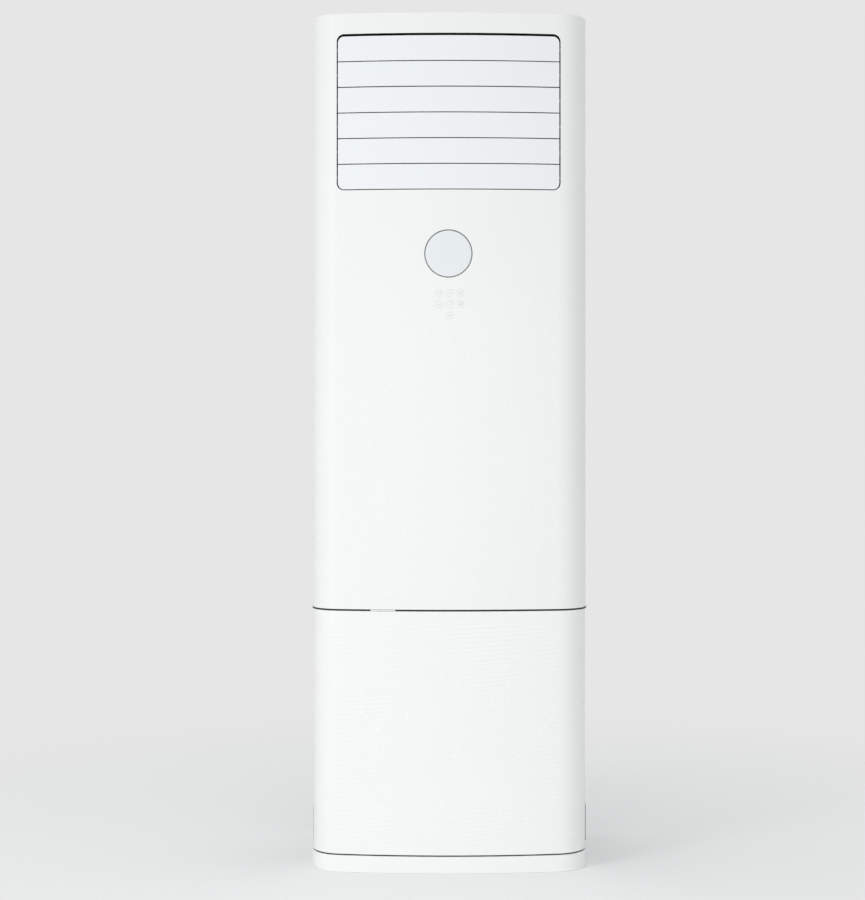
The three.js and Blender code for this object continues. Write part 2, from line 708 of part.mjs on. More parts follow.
function outletDuct() {
  const outer = block(
    -ductHalf - ductWall, ductHalf + ductWall, frontY, ductRearY, ductBottom - ductWall, ductTop + ductWall);
  const inner = block(-ductHalf, ductHalf, frontY - 1, ductRearY + 1, ductBottom, ductTop);
  const behindPanel = plan(
    bodyHalf, frontY, ductRearY + spare, panelWall + seatGap, ductBottom - spare, ductTop + spare);
  const reach = ductHalf + ductWall + 1;
  const louvreBores = louvreZ.map((z) => bar('x', shaftRadius + runGap, -reach, reach, pivotY, z));
  const vaneBores = vaneX.map((x) => bar(
    'z', vaneStubRadius + runGap, ductBottom - ductWall - 1, ductTop + ductWall + 1, x, vaneY, boreSides));
  const standoffs = [-1, 1].map((end) => bar(
    'x', stepperEarRadius - 1, ductHalf + 1, louvreMotorX - seatGap,
    louvreMotorY, louvreMotorZ + (end * stepperEarSpan) / 2, boreSides));
  return cut(join(cut(outer, inner).intersect(behindPanel), ...standoffs), ...louvreBores, ...vaneBores);
}
place('outlet_duct', outletDuct(), 'whitePlastic');

function louvre(z) {
  const low = z - louvreHeight / 2;
  const high = z + louvreHeight / 2;
  const band = (near, far, z0, z1) => cut(
    plan(bodyHalf, frontY, seamY, near, z0, z1), plan(bodyHalf, frontY, seamY + 1, far, z0 - 1, z1 + 1))
    .intersect(block(-louvreHalf, louvreHalf, frontY - 1, pivotY, z0, z1));
  const stack = roundedRectangle(-louvreHalf, louvreHalf, windowBottom + louvreBottomGap,
    windowTop - louvreTopGap, windowCornerRadius - louvreSideGap);
  const blade = band(0, louvreWall, low, high).intersect(extrude(stack, 'y', frontY - 1, pivotY, 3));
  const cheekOuter = louvreHalf - 1;
  const cheekFrontY = bowY(cheekOuter, louvreWall / 2);
  const profile = new THREE.Shape();
  profile.moveTo(cheekFrontY, z - 17);
  profile.absarc(pivotY, z, shaftRadius + 3, -Math.PI / 2, Math.PI / 2);
  profile.lineTo(cheekFrontY, z + 17);
  const cheeks = [-1, 1].map((side) =>
    extrude(profile, 'x', ...span(side, cheekOuter - cheekWall, cheekOuter), 1));
  const leftShaft = bar('x', shaftRadius, -ductHalf - ductWall, -cheekOuter + 1, pivotY, z);
  const rightShaft = bar('x', shaftRadius, cheekOuter - 1, crankX + 1, pivotY, z);
  const crank = extrude(armShape(pivotY, z, crankRadius, crankHalf), 'x', crankX, crankX + crankWall, 2);
  const pin = bar('x', crankPinRadius, crankX + 1, linkX + linkWall, pivotY + crankRadius, z, pinSides);
  return join(blade, ...cheeks, leftShaft, rightShaft, crank, pin);
}
louvreZ.forEach((z, i) => place(`louvre_${i + 1}`, louvre(z), 'blueWhitePlastic'));

function louvreLinkBar() {
  const lineY = pivotY + crankRadius;
  const last = louvreZ[louvreCount - 1];
  const across = [linkX, linkX + linkWall];
  const upright = block(
    ...across, lineY - linkHalf, lineY + linkHalf, last - 2 * linkHalf, louvreZ[0] + 2 * linkHalf);
  const tab = extrude(armShape(lineY, louvreMotorZ, linkMotorBehind, linkHalf), 'x', ...across, 2);
  const pins = [...louvreZ.map((z) => [lineY, z]), [lineY + linkMotorBehind, louvreMotorZ]];
  const holes = pins.map(([y, z]) =>
    bar('x', crankPinRadius + runGap, linkX - 1, linkX + linkWall + 1, y, z, pinSides));
  return cut(join(upright, tab), ...holes);
}
place('louvre_link_bar', louvreLinkBar(), 'greyPlastic');

function louvreDriveCrank() {
  const arm = extrude(
    armShape(louvreMotorY, louvreMotorZ, crankRadius, crankHalf), 'x', driveX, driveX + crankWall, 2);
  const pin = bar('x', crankPinRadius, linkX, driveX + 1, louvreMotorY + crankRadius, louvreMotorZ, pinSides);
  const bore = bar(
    'x', stepperShaftRadius + runGap, driveX + 0.8, driveX + spare, louvreMotorY, louvreMotorZ, boreSides);
  return cut(join(arm, pin), bore);
}
place('louvre_drive_crank', louvreDriveCrank(), 'greyPlastic');

// A geared stepper motor whose ears lie at `face`. The can goes one way along the axis, the shaft the other.
function stepper(axis, face, way, u, v, shaftReach) {
  const ordered = (a, b) => [Math.min(a, b), Math.max(a, b)];
  const can = bar(axis, stepperRadius, ...ordered(face, face + way * stepperDepth), u, v, 12);
  const earWide = stepperEarRadius;
  const earHalf = stepperEarSpan / 2 + earWide;
  const earShape = axis === 'x'
    ? roundedRectangle(u - earWide, u + earWide, v - earHalf, v + earHalf, earWide - 0.1)
    : roundedRectangle(u - earHalf, u + earHalf, v - earWide, v + earWide, earWide - 0.1);
  const ears = extrude(earShape, axis, ...ordered(face, face + way), 1);
  const shaft = bar(
    axis, stepperShaftRadius, ...ordered(face - way * shaftReach, face + way), u, v, pinSides);
  return join(can, ears, shaft);
}
place('louvre_motor',
  stepper('x', louvreMotorX, 1, louvreMotorY, louvreMotorZ, linkSlack + crankWall - 1), 'galvanised');

const vaneStubBottom = ductBottom - ductWall;
function vane(x, index) {
  const half = vaneChord / 2;
  const low = ductBottom + vaneEndGap;
  const high = ductTop - vaneEndGap;
  const profile = new THREE.Shape();
  const edge = vaneWall / 4;
  profile.moveTo(x - edge, vaneY - half);
  profile.lineTo(x + edge, vaneY - half);
  profile.lineTo(x + vaneWall / 2, vaneY);
  profile.lineTo(x + edge, vaneY + half);
  profile.lineTo(x - edge, vaneY + half);
  profile.lineTo(x - vaneWall / 2, vaneY);
  const blade = extrude(profile, 'z', low, high);
  const notch = block(
    x - spare, x + spare, vanePinY - vaneNotchDepth, vaneY + half + 1,
    vaneBarZ - vaneNotchHeight / 2, vaneBarZ + vaneNotchHeight / 2);
  const pinReach = vaneNotchHeight / 2 + 1;
  const pin = bar('z', vanePinRadius, vaneBarZ - pinReach, vaneBarZ + pinReach, x, vanePinY, pinSides);
  const lowerStub = bar('z', vaneStubRadius, vaneStubBottom, low + 5, x, vaneY, pinSides);
  const upperStub = bar('z', vaneStubRadius, high - 4, ductTop + ductWall, x, vaneY, pinSides);
  const whole = join(cut(blade, notch), pin, lowerStub, upperStub);
  if (index !== drivenVane) return whole;
  const socketTop = vaneStubBottom + vaneSocketDepth;
  return cut(
    whole, bar('z', stepperShaftRadius + runGap, vaneStubBottom - 1, socketTop, x, vaneY, boreSides));
}
vaneX.forEach((x, i) => place(`vane_${i + 1}`, vane(x, i), 'blueWhitePlastic'));

function vaneLinkBar() {
  const rod = block(
    vaneX[0] - 2 * vaneBarHalf, vaneX[vaneCount - 1] + 2 * vaneBarHalf,
    vanePinY - vaneBarHalf, vanePinY + vaneBarHalf, vaneBarZ - vaneBarWall / 2, vaneBarZ + vaneBarWall / 2);
  const holes = vaneX.map((x) =>
    bar('z', vanePinRadius + runGap, vaneBarZ - vaneBarWall, vaneBarZ + vaneBarWall, x, vanePinY, pinSides));
  return cut(rod, ...holes);
}
place('vane_link_bar', vaneLinkBar(), 'greyPlastic');
place('vane_motor',
  stepper('z', vaneStubBottom - seatGap, -1, vaneX[drivenVane], vaneY, vaneSocketDepth - 1), 'galvanised');

// ---- Coil section ----
const panBottom = deckTop + seatGap;
const panTop = panBottom + panHeight;
const coilFootDepth = frontY + coilFootY;
const coilRestZ = panBottom + panWall + panRestHeight + seatGap;
const coilFootZ = coilRestZ + (coilThickness / 2) * Math.sin(radians(coilTilt));
const coilTopZ = coilFootZ + coilLength * Math.cos(radians(coilTilt)) + coilThickness / 2;
const coilHalf = sideInner - coilSideRoom;
const coilFinPitch = (2 * coilHalf - coilFinWall) / coilBays;
const frontPlateY = seamY; // its rear face, against the side panels' front flanges

function frontPlate() {
  const half = bodyHalf - 12;
  const y0 = frontPlateY - frontPlateWall;
  const plate = block(-half, half, y0, frontPlateY, upperPanelBottom, ductBottom - ductWall - seatGap);
  const clear = plan(bodyHalf, frontY, frontPlateY + spare, panelWall + 2, deckTop, ductBottom);
  const motorNotch = block(-stepperEarSpan / 2 - spare, stepperEarSpan / 2 + spare, y0 - 1, frontPlateY + 1,
    vaneStubBottom - stepperDepth - spare, ductBottom);
  return cut(plate.intersect(clear), motorNotch);
}
place('front_plate', frontPlate(), 'foam');

function drainPan() {
  const half = sideInner - seatGap - 1;
  const y0 = sideFrontY + sheet + seatGap;
  const y1 = y0 + panRun;
  const body = block(-half, half, y0, y1, panBottom, panTop);
  const hollow = block(
    -half + panWall, half - panWall, y0 + panWall, y1 - panWall, panBottom + panWall, panTop + 1);
  const spoutX = -half + spoutInset;
  const spoutZ = panBottom + spoutRise;
  const restX = coilHalf - coilFinWall / 2 - coilFinPitch; // under the second fin from each end
  const rests = [-restX, 0, restX].map((x) => block(
    x - panRestHalf, x + panRestHalf, y0 + 1, y1 - 1, panBottom + 1, panBottom + panWall + panRestHeight));
  const spout = bar('y', spoutRadius, y1 - 1, y1 + spoutLength, spoutX, spoutZ, 12);
  const spoutBore = bar(
    'y', spoutRadius - spoutWall, y1 - panWall - 1, y1 + spoutLength + 1, spoutX, spoutZ, 12);
  return cut(join(cut(body, hollow), ...rests, spout), spoutBore);
}
place('drain_pan', drainPan(), 'greyPlastic');

// The coil lies in its own frame: x across, y through it, z up along it, turned back about its foot.
const coilGroup = new THREE.Group();
coilGroup.position.set(0, coilFootDepth, coilFootZ);
coilGroup.rotation.x = -radians(coilTilt);
group.add(coilGroup);

// Fins that stand up from both faces of a web, seen along the coil.
function finBlock() {
  const half = coilThickness / 2;
  const web = coilWeb / 2;
  const comb = Array.from({ length: coilBays }, (_, i) => {
    const x = -coilHalf + coilFinWall + i * coilFinPitch;
    const next = x + coilFinPitch - coilFinWall;
    return [[x, half], [x, web], [next, web], [next, half]];
  }).flat();
  const front = comb.map(([x, y]) => [x, -y]);
  const rear = comb.reverse();
  const corners = [
    [-coilHalf, -half], ...front, [coilHalf, -half], [coilHalf, half], ...rear, [-coilHalf, half]];
  return extrude(new THREE.Shape(corners.map(([x, y]) => new THREE.Vector2(x, y))), 'z', 0, coilLength);
}

// A tube bend that leaves a tube sheet at one row and comes back at the next.
class BendCurve extends THREE.Curve {
  constructor(x, side, z, rise) {
    super();
    Object.assign(this, { x, side, z, rise });
  }

  getPoint(t, target = new THREE.Vector3()) {
    const angle = Math.PI * t;
    const out = (this.rise / 2) * Math.sin(angle);
    const slide = (tubeSpread / 2) * Math.cos(angle);
    return target.set(this.x + this.side * out, slide, this.z - (this.rise / 2) * Math.cos(angle));
  }
}

function tubeEnd(side) {
  const near = coilHalf + seatGap;
  const far = near + tubeSheetWall;
  const half = coilThickness / 2;
  const flatSheet = block(...span(side, near, far), -half, half, 0, coilLength);
  const bends = Math.floor((coilLength - tubePitch / 2) / tubePitch);
  const tubes = [];
  for (let i = 0; i < bends; i += 1) {
    const z = (i + 0.75) * tubePitch;
    const path = new BendCurve(side * (far - 1), side, z, tubePitch / 2);
    const section = new THREE.Shape();
    section.absarc(0, 0, tubeRadius, 0, Math.PI * 2);
    tubes.push(asSolid(new THREE.ExtrudeGeometry(
      section, { steps: 3, extrudePath: path, bevelEnabled: false, curveSegments: 3 })));
  }
  if (side < 0) return join(flatSheet, ...tubes);
  const headerX = far + headerReach;
  const headers = [-1, 1].map((row) => {
    const y = row * (half + headerSetOff);
    const feedY = row * (half - 1.25 * tubeRadius);
    const feedZ = headerBase + headerFeedRise;
    const top = coilLength * (row > 0 ? 0.8 : 0.5);
    const riser = bar('z', tubeRadius + row + 3, headerBase, top, headerX, y);
    const feed = bar('x', tubeRadius, far - 1, headerX, feedY, feedZ);
    const neck = bar('y', tubeRadius, Math.min(feedY, y), Math.max(feedY, y), headerX - 1, feedZ);
    return join(riser, feed, neck);
  });
  return join(flatSheet, ...tubes, ...headers);
}

for (const [name, solid, finish] of [
  ['evaporator_coil', finBlock(), 'aluminium'],
  ['coil_end_left', tubeEnd(-1), 'copper'],
  ['coil_end_right', tubeEnd(1), 'copper'],
]) coilGroup.add(place(name, solid, finish));

function airGuide() {
  const half = sideInner - seatGap;
  const y0 = ductRearY + seatGap;
  const y1 = rearPanelY - sheet - seatGap;
  const z0 = coilTopZ + 2;
  const z1 = cabinetHeight - topFillet;
  const mouth = ductTop + ductWall;
  const profile = new THREE.Shape();
  profile.moveTo(y1, z0);
  profile.lineTo(y1, z1);
  profile.lineTo(y0, z1);
  profile.lineTo(y0, mouth);
  profile.absarc(y1 - guideWall - guideBend, mouth - guideBend, guideBend, Math.PI / 2, 0, true);
  profile.lineTo(y1 - guideWall, z0);
  return extrude(profile, 'x', -half, half, 6);
}
place('rear_air_guide', airGuide(), 'foam');

// ---- Electronics ----
const controlBoxTop = boardBottom - controlBoxDrop;
const controlBoxBottom = controlBoxTop - controlBoxHeight;
const controlBoxRearY = frontPlateY - frontPlateWall - seatGap;
const controlBoxFrontY = controlBoxRearY - controlBoxDepth;

function controlBox() {
  const wall = controlBoxWall;
  const body = block(
    -controlBoxHalf, controlBoxHalf, controlBoxFrontY, controlBoxRearY, controlBoxBottom, controlBoxTop);
  const hollow = block(
    -controlBoxHalf + wall, controlBoxHalf - wall, controlBoxFrontY - 1, controlBoxRearY - wall,
    controlBoxBottom + wall, controlBoxTop - wall);
  const ears = [controlBoxBottom - controlBoxEarReach, controlBoxTop - 1].map((z) => block(
    -controlBoxEarHalf, controlBoxEarHalf, controlBoxRearY - wall, controlBoxRearY,
    z, z + controlBoxEarReach + 1));
  const wireHoles = [-wireHoleX, wireHoleX].map((x) => bar(
    'z', wireHoleRadius, controlBoxBottom - 2, controlBoxBottom + 2 * wall, x, controlBoxRearY - postInset));
  const postZ = [controlBoxTop - postDrop, controlBoxTop - postDrop - postPitch];
  const posts = [-1, 1].flatMap((side) => postZ.map((z) => bar(
    'y', postRadius, controlBoxRearY - postHeight, controlBoxRearY - wall / 2,
    side * (controlBoxHalf - postInset), z, pinSides)));
  return cut(join(cut(body, hollow), ...ears, ...posts), ...wireHoles);
}
place('control_box', controlBox(), 'galvanised');

function controlBoxCover() {
  const wall = controlBoxWall;
  const lip = seatGap + wall;
  const body = block(-controlBoxHalf - lip, controlBoxHalf + lip, controlBoxFrontY - seatGap - wall,
    controlBoxFrontY + controlBoxLip, controlBoxBottom - lip, controlBoxTop + lip);
  const hollow = block(-controlBoxHalf - seatGap, controlBoxHalf + seatGap, controlBoxFrontY - seatGap,
    controlBoxFrontY + controlBoxLip + 1, controlBoxBottom - seatGap, controlBoxTop + seatGap);
  return cut(body, hollow);
}
place('control_box_cover', controlBoxCover(), 'galvanised');

function mainBoard() {
  const y1 = controlBoxRearY - postHeight - seatGap;
  const y0 = y1 - boardWall;
  const half = controlBoxHalf - mainBoardInset;
  const top = controlBoxTop - mainBoardDrop;
  const standing = (x, width, drop, length, height) =>
    block(x, x + width, y0 - height, y0 + 1, top - drop - length, top - drop);
  const canned = (x, drop, radius, height) => bar('y', radius, y0 - height, y0 + 1, x, top - drop, 12);
  const relays = Array.from({ length: relayCount }, (_, i) =>
    standing(relayX + i * relayPitch, relayWidth, relayDrop, relayLength, relayHeight));
  const connectors = Array.from({ length: connectorCount }, (_, i) => standing(
    connectorX + i * connectorPitch, connectorWidth, connectorDrop, connectorLength, connectorHeight));
  return join(
    block(-half, half, y0, y1, top - mainBoardHeight, top),
    canned(capacitorX, capacitorDrop, capacitorRadius, capacitorHeight),
    canned(inductorX, inductorDrop, inductorRadius, inductorHeight),
    standing(sinkX, sinkWidth, sinkDrop, sinkLength, sinkHeight), ...relays, ...connectors);
}
place('main_circuit_board', mainBoard(), 'circuitBoard');

function terminalBlock() {
  const y1 = controlBoxRearY - controlBoxWall - seatGap;
  const half = (terminalCount * terminalPitch) / 2;
  const z = controlBoxBottom + terminalRise;
  const body = block(-half, half, y1 - terminalDepth, y1, z - terminalHalfHeight, z + terminalHalfHeight);
  const bays = Array.from({ length: terminalCount }, (_, i) => block(
    -half + i * terminalPitch + terminalWall / 2, -half + (i + 1) * terminalPitch - terminalWall / 2,
    y1 - terminalDepth - 1, y1 - terminalDepth + terminalBayDepth,
    z - terminalHalfHeight - 1, z + terminalHalfHeight + 1));
  return cut(body, ...bays);
}
place('terminal_block', terminalBlock(), 'darkPlastic');

// ---- Fan section ----
const wheelFrontY = scrollFrontY + scrollWall + wheelSideGap;
const wheelBackY = wheelFrontY + wheelWidth;
const hubFaceY = wheelBackY - hubDishDepth;

// A turned piece about the fan's axis, from a closed outline of (radius, y) corners.
function turned(profile, sides = 24) {
  const outline = profile.map(([radius, y]) => new THREE.Vector2(radius, y));
  if (THREE.ShapeUtils.area(outline) < 0) outline.reverse(); // so that the faces point out
  const geometry = new THREE.LatheGeometry([...outline, outline[0]], sides);
  geometry.translate(fanCentreX, 0, fanCentreZ);
  return asSolid(geometry);
}

function scrollHousing() {
  const shell = scrollForm(scrollWall, scrollFrontY, scrollBackY, scrollTop);
  const hollow = scrollForm(0, scrollFrontY + scrollWall, scrollBackY - scrollWall, scrollTop + 1);
  const eye = bar(
    'y', inletFlange - inletLap, scrollFrontY - 1, scrollFrontY + scrollWall + 1, fanCentreX, fanCentreZ, 24);
  const back = bar('y', bracketOuterRadius - bracketLap, scrollBackY - scrollWall - 1, scrollBackY + 1,
    fanCentreX, fanCentreZ, 24);
  return cut(shell, hollow, eye, back);
}
place('scroll_housing', scrollHousing(), 'galvanised');

function inletRing() {
  const bellSteps = 2;
  const frontFace = scrollFrontY - seatGap - inletWall;
  const noseY = wheelFrontY + inletNose;
  const bell = (offset) => Array.from({ length: bellSteps + 1 }, (_, i) => {
    const angle = (Math.PI / 2) * (i / bellSteps);
    return [
      inletThroat + inletFlare - (inletFlare - offset) * Math.sin(angle),
      frontFace + inletBellDepth - (inletBellDepth - offset) * Math.cos(angle),
    ];
  });
  return turned([
    [inletThroat, noseY],
    [inletThroat + inletWall, noseY],
    ...bell(inletWall).reverse(),
    [inletFlange, frontFace + inletWall],
    [inletFlange, frontFace],
    ...bell(0),
  ]);
}
place('inlet_ring', inletRing(), 'whitePlastic');

function fanWheel() {
  const bore = fanShaftRadius + runGap;
  const disc = wheelDiscWall;
  const hubFrontY = hubFaceY - disc - hubLength;
  const dishTaper = 4;
  const back = turned([
    [bore, hubFrontY],
    [bore, hubFaceY],
    [hubDishRadius - dishTaper, hubFaceY],
    [hubDishRadius, wheelBackY],
    [wheelRadius, wheelBackY],
    [wheelRadius, wheelBackY - disc],
    [hubDishRadius + disc, wheelBackY - disc],
    [hubDishRadius - dishTaper + disc, hubFaceY - disc],
    [hubRadius, hubFaceY - disc],
    [hubRadius, hubFrontY],
  ]);
  const ringInner = wheelInnerRadius - 2;
  const ring = turned([
    [ringInner, wheelFrontY],
    [ringInner, wheelFrontY + disc],
    [wheelRadius, wheelFrontY + disc],
    [wheelRadius, wheelFrontY],
  ]);
  const lean = radians(7);
  const reach = wheelRadius - 1 - wheelInnerRadius;
  const blades = Array.from({ length: bladeCount }, (_, i) => {
    const root = (i * 2 * Math.PI) / bladeCount;
    const corner = (t, side) => {
      const radius = wheelInnerRadius + reach * t;
      const angle = root + lean * t * t + (side * bladeWall) / 2 / radius;
      return [fanCentreX + radius * Math.cos(angle), fanCentreZ + radius * Math.sin(angle)];
    };
    const stations = [0, 0.5, 1];
    const outline = [...stations.map((t) => corner(t, -1)), ...stations.map((t) => corner(1 - t, 1))];
    const shape = new THREE.Shape(outline.map(([x, z]) => new THREE.Vector2(x, z)));
    return extrude(shape, 'y', wheelFrontY + disc / 2, wheelBackY - disc / 2);
  });
  return join(back, ring, ...blades);
}
place('fan_wheel', fanWheel(), 'blackFan');

const motorFrontY = hubFaceY + motorNoseGap;
place('fan_shaft', bar('y', fanShaftRadius, hubFaceY - wheelDiscWall - hubLength - 5,
  motorFrontY + motorBoreDepth - 1, fanCentreX, fanCentreZ, 16), 'steel');

const bracketFrontY = scrollBackY + seatGap;
function motorBracket() {
  const inner = motorRadius + 1;
  const ring = turned([
    [inner, bracketFrontY],
    [inner, bracketFrontY + bracketSheet],
    [bracketOuterRadius, bracketFrontY + bracketSheet],
    [bracketOuterRadius, bracketFrontY],
  ]);
  const windows = [90, 210, 330].map((angle) => bar(
    'y', bracketWindowRadius, bracketFrontY - 1, bracketFrontY + bracketSheet + 1,
    fanCentreX + bracketWindowSpread * Math.cos(radians(angle)),
    fanCentreZ + bracketWindowSpread * Math.sin(radians(angle))));
  return cut(ring, ...windows);
}
place('motor_bracket', motorBracket(), 'galvanised');

function fanMotor() {
  const flangeY = bracketFrontY + bracketSheet + seatGap;
  const rearFaceY = motorFrontY + motorBodyDepth;
  const body = turned([
    [fanShaftRadius + runGap, motorFrontY],
    [fanShaftRadius + runGap, motorFrontY + motorBoreDepth],
    [0, motorFrontY + motorBoreDepth],
    [0, rearFaceY + 5],
    [16, rearFaceY + 5],
    [20, rearFaceY],
    [motorRadius - 6, rearFaceY],
    [motorRadius, rearFaceY - 6],
    [motorRadius, flangeY + 4],
    [motorFlangeRadius, flangeY + 4],
    [motorFlangeRadius, flangeY],
    [motorRadius, flangeY],
    [motorRadius, motorFrontY + 5],
    [motorRadius - 5, motorFrontY],
  ], 16);
  return body;
}
place('fan_motor', fanMotor(), 'steel');

// ---- Side intakes ----
const grilleY0 = intakeY0 + seatGap;
const grilleY1 = intakeY0 + intakeRun - seatGap;
const grilleZ0 = intakeBottom + seatGap;
const grilleZ1 = intakeBottom + intakeHeight - seatGap;

function framed(side, near, far, rim) {
  const outer = block(...span(side, near, far), grilleY0, grilleY1, grilleZ0, grilleZ1);
  const hole = block(
    ...span(side, near - 1, far + 1), grilleY0 + rim, grilleY1 - rim, grilleZ0 + rim, grilleZ1 - rim);
  return cut(outer, hole);
}

function intakeGrille(side) {
  const near = sideHalf - grilleDepth;
  const frame = framed(side, near, sideHalf, grilleRim);
  const pitch = (grilleZ1 - grilleZ0 - 2 * grilleRim) / (slatCount + 1);
  const rise = 7;
  const slats = Array.from({ length: slatCount }, (_, i) => {
    const z = grilleZ0 + grilleRim + (i + 1) * pitch;
    const outline = new THREE.Shape();
    outline.moveTo(side * (sideHalf - 0.5), z - rise / 2);
    outline.lineTo(side * (sideHalf - 0.5), z - rise / 2 + slatWall);
    outline.lineTo(side * (near + 2), z + rise / 2 + slatWall);
    outline.lineTo(side * (near + 2), z + rise / 2);
    return extrude(outline, 'y', grilleY0 + 1, grilleY1 - 1);
  });
  return join(frame, ...slats);
}

function airFilter(side) {
  const far = sideHalf - grilleDepth - seatGap;
  const near = far - filterDepth;
  const frame = framed(side, near, far, filterRim);
  const net = block(
    ...span(side, near + 2, near + 2 + netWall), grilleY0 + 1, grilleY1 - 1, grilleZ0 + 1, grilleZ1 - 1);
  const cross = [1, 2, 3, 4].map((i) => {
    const z = grilleZ0 + ((grilleZ1 - grilleZ0) * i) / 5;
    return block(...span(side, near + 1, far - 1), grilleY0 + 1, grilleY1 - 1, z - 1.5, z + 1.5);
  });
  return join(frame, net, ...cross);
}
for (const [name, side] of [['left', -1], ['right', 1]]) {
  place(`intake_grille_${name}`, intakeGrille(side), 'whitePlastic');
  place(`filter_${name}`, airFilter(side), 'greyPlastic');
}

export default group;
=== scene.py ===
"""Looks of a floor standing air conditioner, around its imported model. Metres, the front faces -Y."""

import json
import math

import bmesh
import bpy
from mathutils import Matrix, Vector, noise


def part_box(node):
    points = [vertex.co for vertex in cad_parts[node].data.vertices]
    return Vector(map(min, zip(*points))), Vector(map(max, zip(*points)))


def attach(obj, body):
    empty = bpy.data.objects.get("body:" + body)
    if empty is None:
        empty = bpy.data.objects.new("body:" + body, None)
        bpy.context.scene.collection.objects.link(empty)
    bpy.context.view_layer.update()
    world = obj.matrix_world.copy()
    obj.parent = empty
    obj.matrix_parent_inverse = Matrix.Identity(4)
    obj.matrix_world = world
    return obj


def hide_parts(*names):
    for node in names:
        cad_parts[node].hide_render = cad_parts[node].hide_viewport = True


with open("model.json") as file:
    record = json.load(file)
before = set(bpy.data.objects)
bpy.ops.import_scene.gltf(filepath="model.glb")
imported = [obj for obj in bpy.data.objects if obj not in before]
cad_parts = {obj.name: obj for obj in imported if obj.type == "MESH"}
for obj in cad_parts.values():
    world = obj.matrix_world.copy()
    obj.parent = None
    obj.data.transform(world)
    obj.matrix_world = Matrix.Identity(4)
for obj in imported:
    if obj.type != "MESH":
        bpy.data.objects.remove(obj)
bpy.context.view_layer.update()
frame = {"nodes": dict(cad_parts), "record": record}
MM = 0.001

# ---- Sizes, most of them those of the solids ----
KEYS = range(1, 8)
LOUVRES = range(1, 7)
BOW_RADIUS = 1650 * MM
CORNER_RADIUS = 70 * MM
TOP_FILLET = 4 * MM
PANEL_WALL = 2.8 * MM
WINDOW_RADIUS = 16 * MM
WINDOW_HALF = 242.5 * MM
WINDOW_ROOM = 5.0 * MM  # window above the first louvre
WINDOW_SILL = 1.6 * MM  # and below the last
DISPLAY_GAP = 0.6 * MM
KEY_RADIUS = 7.65 * MM
KEY_GAP = 0.13 * MM
RIM_DEPTH = 8 * MM
RIM_WALL = 2 * MM
PEG_X = 180 * MM
PEG_Z = (62 * MM, 547.2 * MM)
PEG_RADIUS = 4 * MM
PEG_FOOT = 8 * MM
PEG_END = -149 * MM
WELD_REACH = 0.01 * MM

upper_low, upper_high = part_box("upper_front_panel")
lower_low, lower_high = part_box("lower_front_panel")
display_low, display_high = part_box("display_window")
DISPLAY_Z = (display_low.z + display_high.z) / 2
DISPLAY_RADIUS = display_high.x
FRONT = upper_low.y
SEAM_Y = upper_high.y


def outline(half, inset=0.0, rear=SEAM_Y, bow_steps=48, corner_steps=14):
    """(x, y) along the bowed front, seen from above, from its left rear end to its right one."""
    turn_x = half - CORNER_RADIUS
    bow_y = FRONT + BOW_RADIUS
    turn_y = bow_y - math.sqrt((BOW_RADIUS - CORNER_RADIUS) ** 2 - turn_x**2)
    swing = math.asin(turn_x / (BOW_RADIUS - CORNER_RADIUS))
    right = []
    for step in range(bow_steps):
        angle = swing * step / bow_steps
        right.append(((BOW_RADIUS - inset) * math.sin(angle), bow_y - (BOW_RADIUS - inset) * math.cos(angle)))
    for step in range(corner_steps + 1):
        angle = swing + (math.pi / 2 - swing) * step / corner_steps
        reach = CORNER_RADIUS - inset
        right.append((turn_x + reach * math.sin(angle), turn_y - reach * math.cos(angle)))
    right.append((half - inset, rear))
    return [(-x, y) for x, y in reversed(right)] + right[1:]


def bow_at(x, inset=0.0):
    return FRONT + BOW_RADIUS - math.sqrt((BOW_RADIUS - inset) ** 2 - x * x)


# ---- Meshes ----
def piece_of(name, vertices, faces):
    mesh = bpy.data.meshes.new(name)
    mesh.from_pydata([tuple(v) for v in vertices], [], faces)
    mesh.validate()
    piece = bpy.data.objects.new(name, mesh)
    bpy.context.scene.collection.objects.link(piece)
    return piece


def grid_faces(rows, columns, closed=False, start=0):
    """Quads between rows of equally many points; closed rows join their ends."""
    faces = []
    for row in range(rows - 1):
        for column in range(columns if closed else columns - 1):
            after = (column + 1) % columns
            a, b = start + row * columns, start + (row + 1) * columns
            faces.append((a + column, a + after, b + after, b + column))
    return faces


def loft(name, rows):
    """A closed solid through rings of equally many points."""
    count = len(rows[0])
    faces = grid_faces(len(rows), count, closed=True)
    faces.append(tuple(reversed(range(count))))
    faces.append(tuple((len(rows) - 1) * count + i for i in range(count)))
    return piece_of(name, [p for row in rows for p in row], faces)


def settle(piece):
    """Turns a piece's modifiers into its mesh."""
    bpy.context.view_layer.update()
    shown = piece.evaluated_get(bpy.context.evaluated_depsgraph_get())
    mesh = bpy.data.meshes.new_from_object(shown)
    piece.modifiers.clear()
    piece.data = mesh


def cut(piece, tool):
    """Takes the tool out of a piece and deletes the tool."""
    for solid in (piece, tool):
        outward(solid)
    step = piece.modifiers.new("cut", "BOOLEAN")
    step.operation = "DIFFERENCE"
    step.solver = "EXACT"
    step.object = tool
    settle(piece)
    bpy.data.objects.remove(tool)


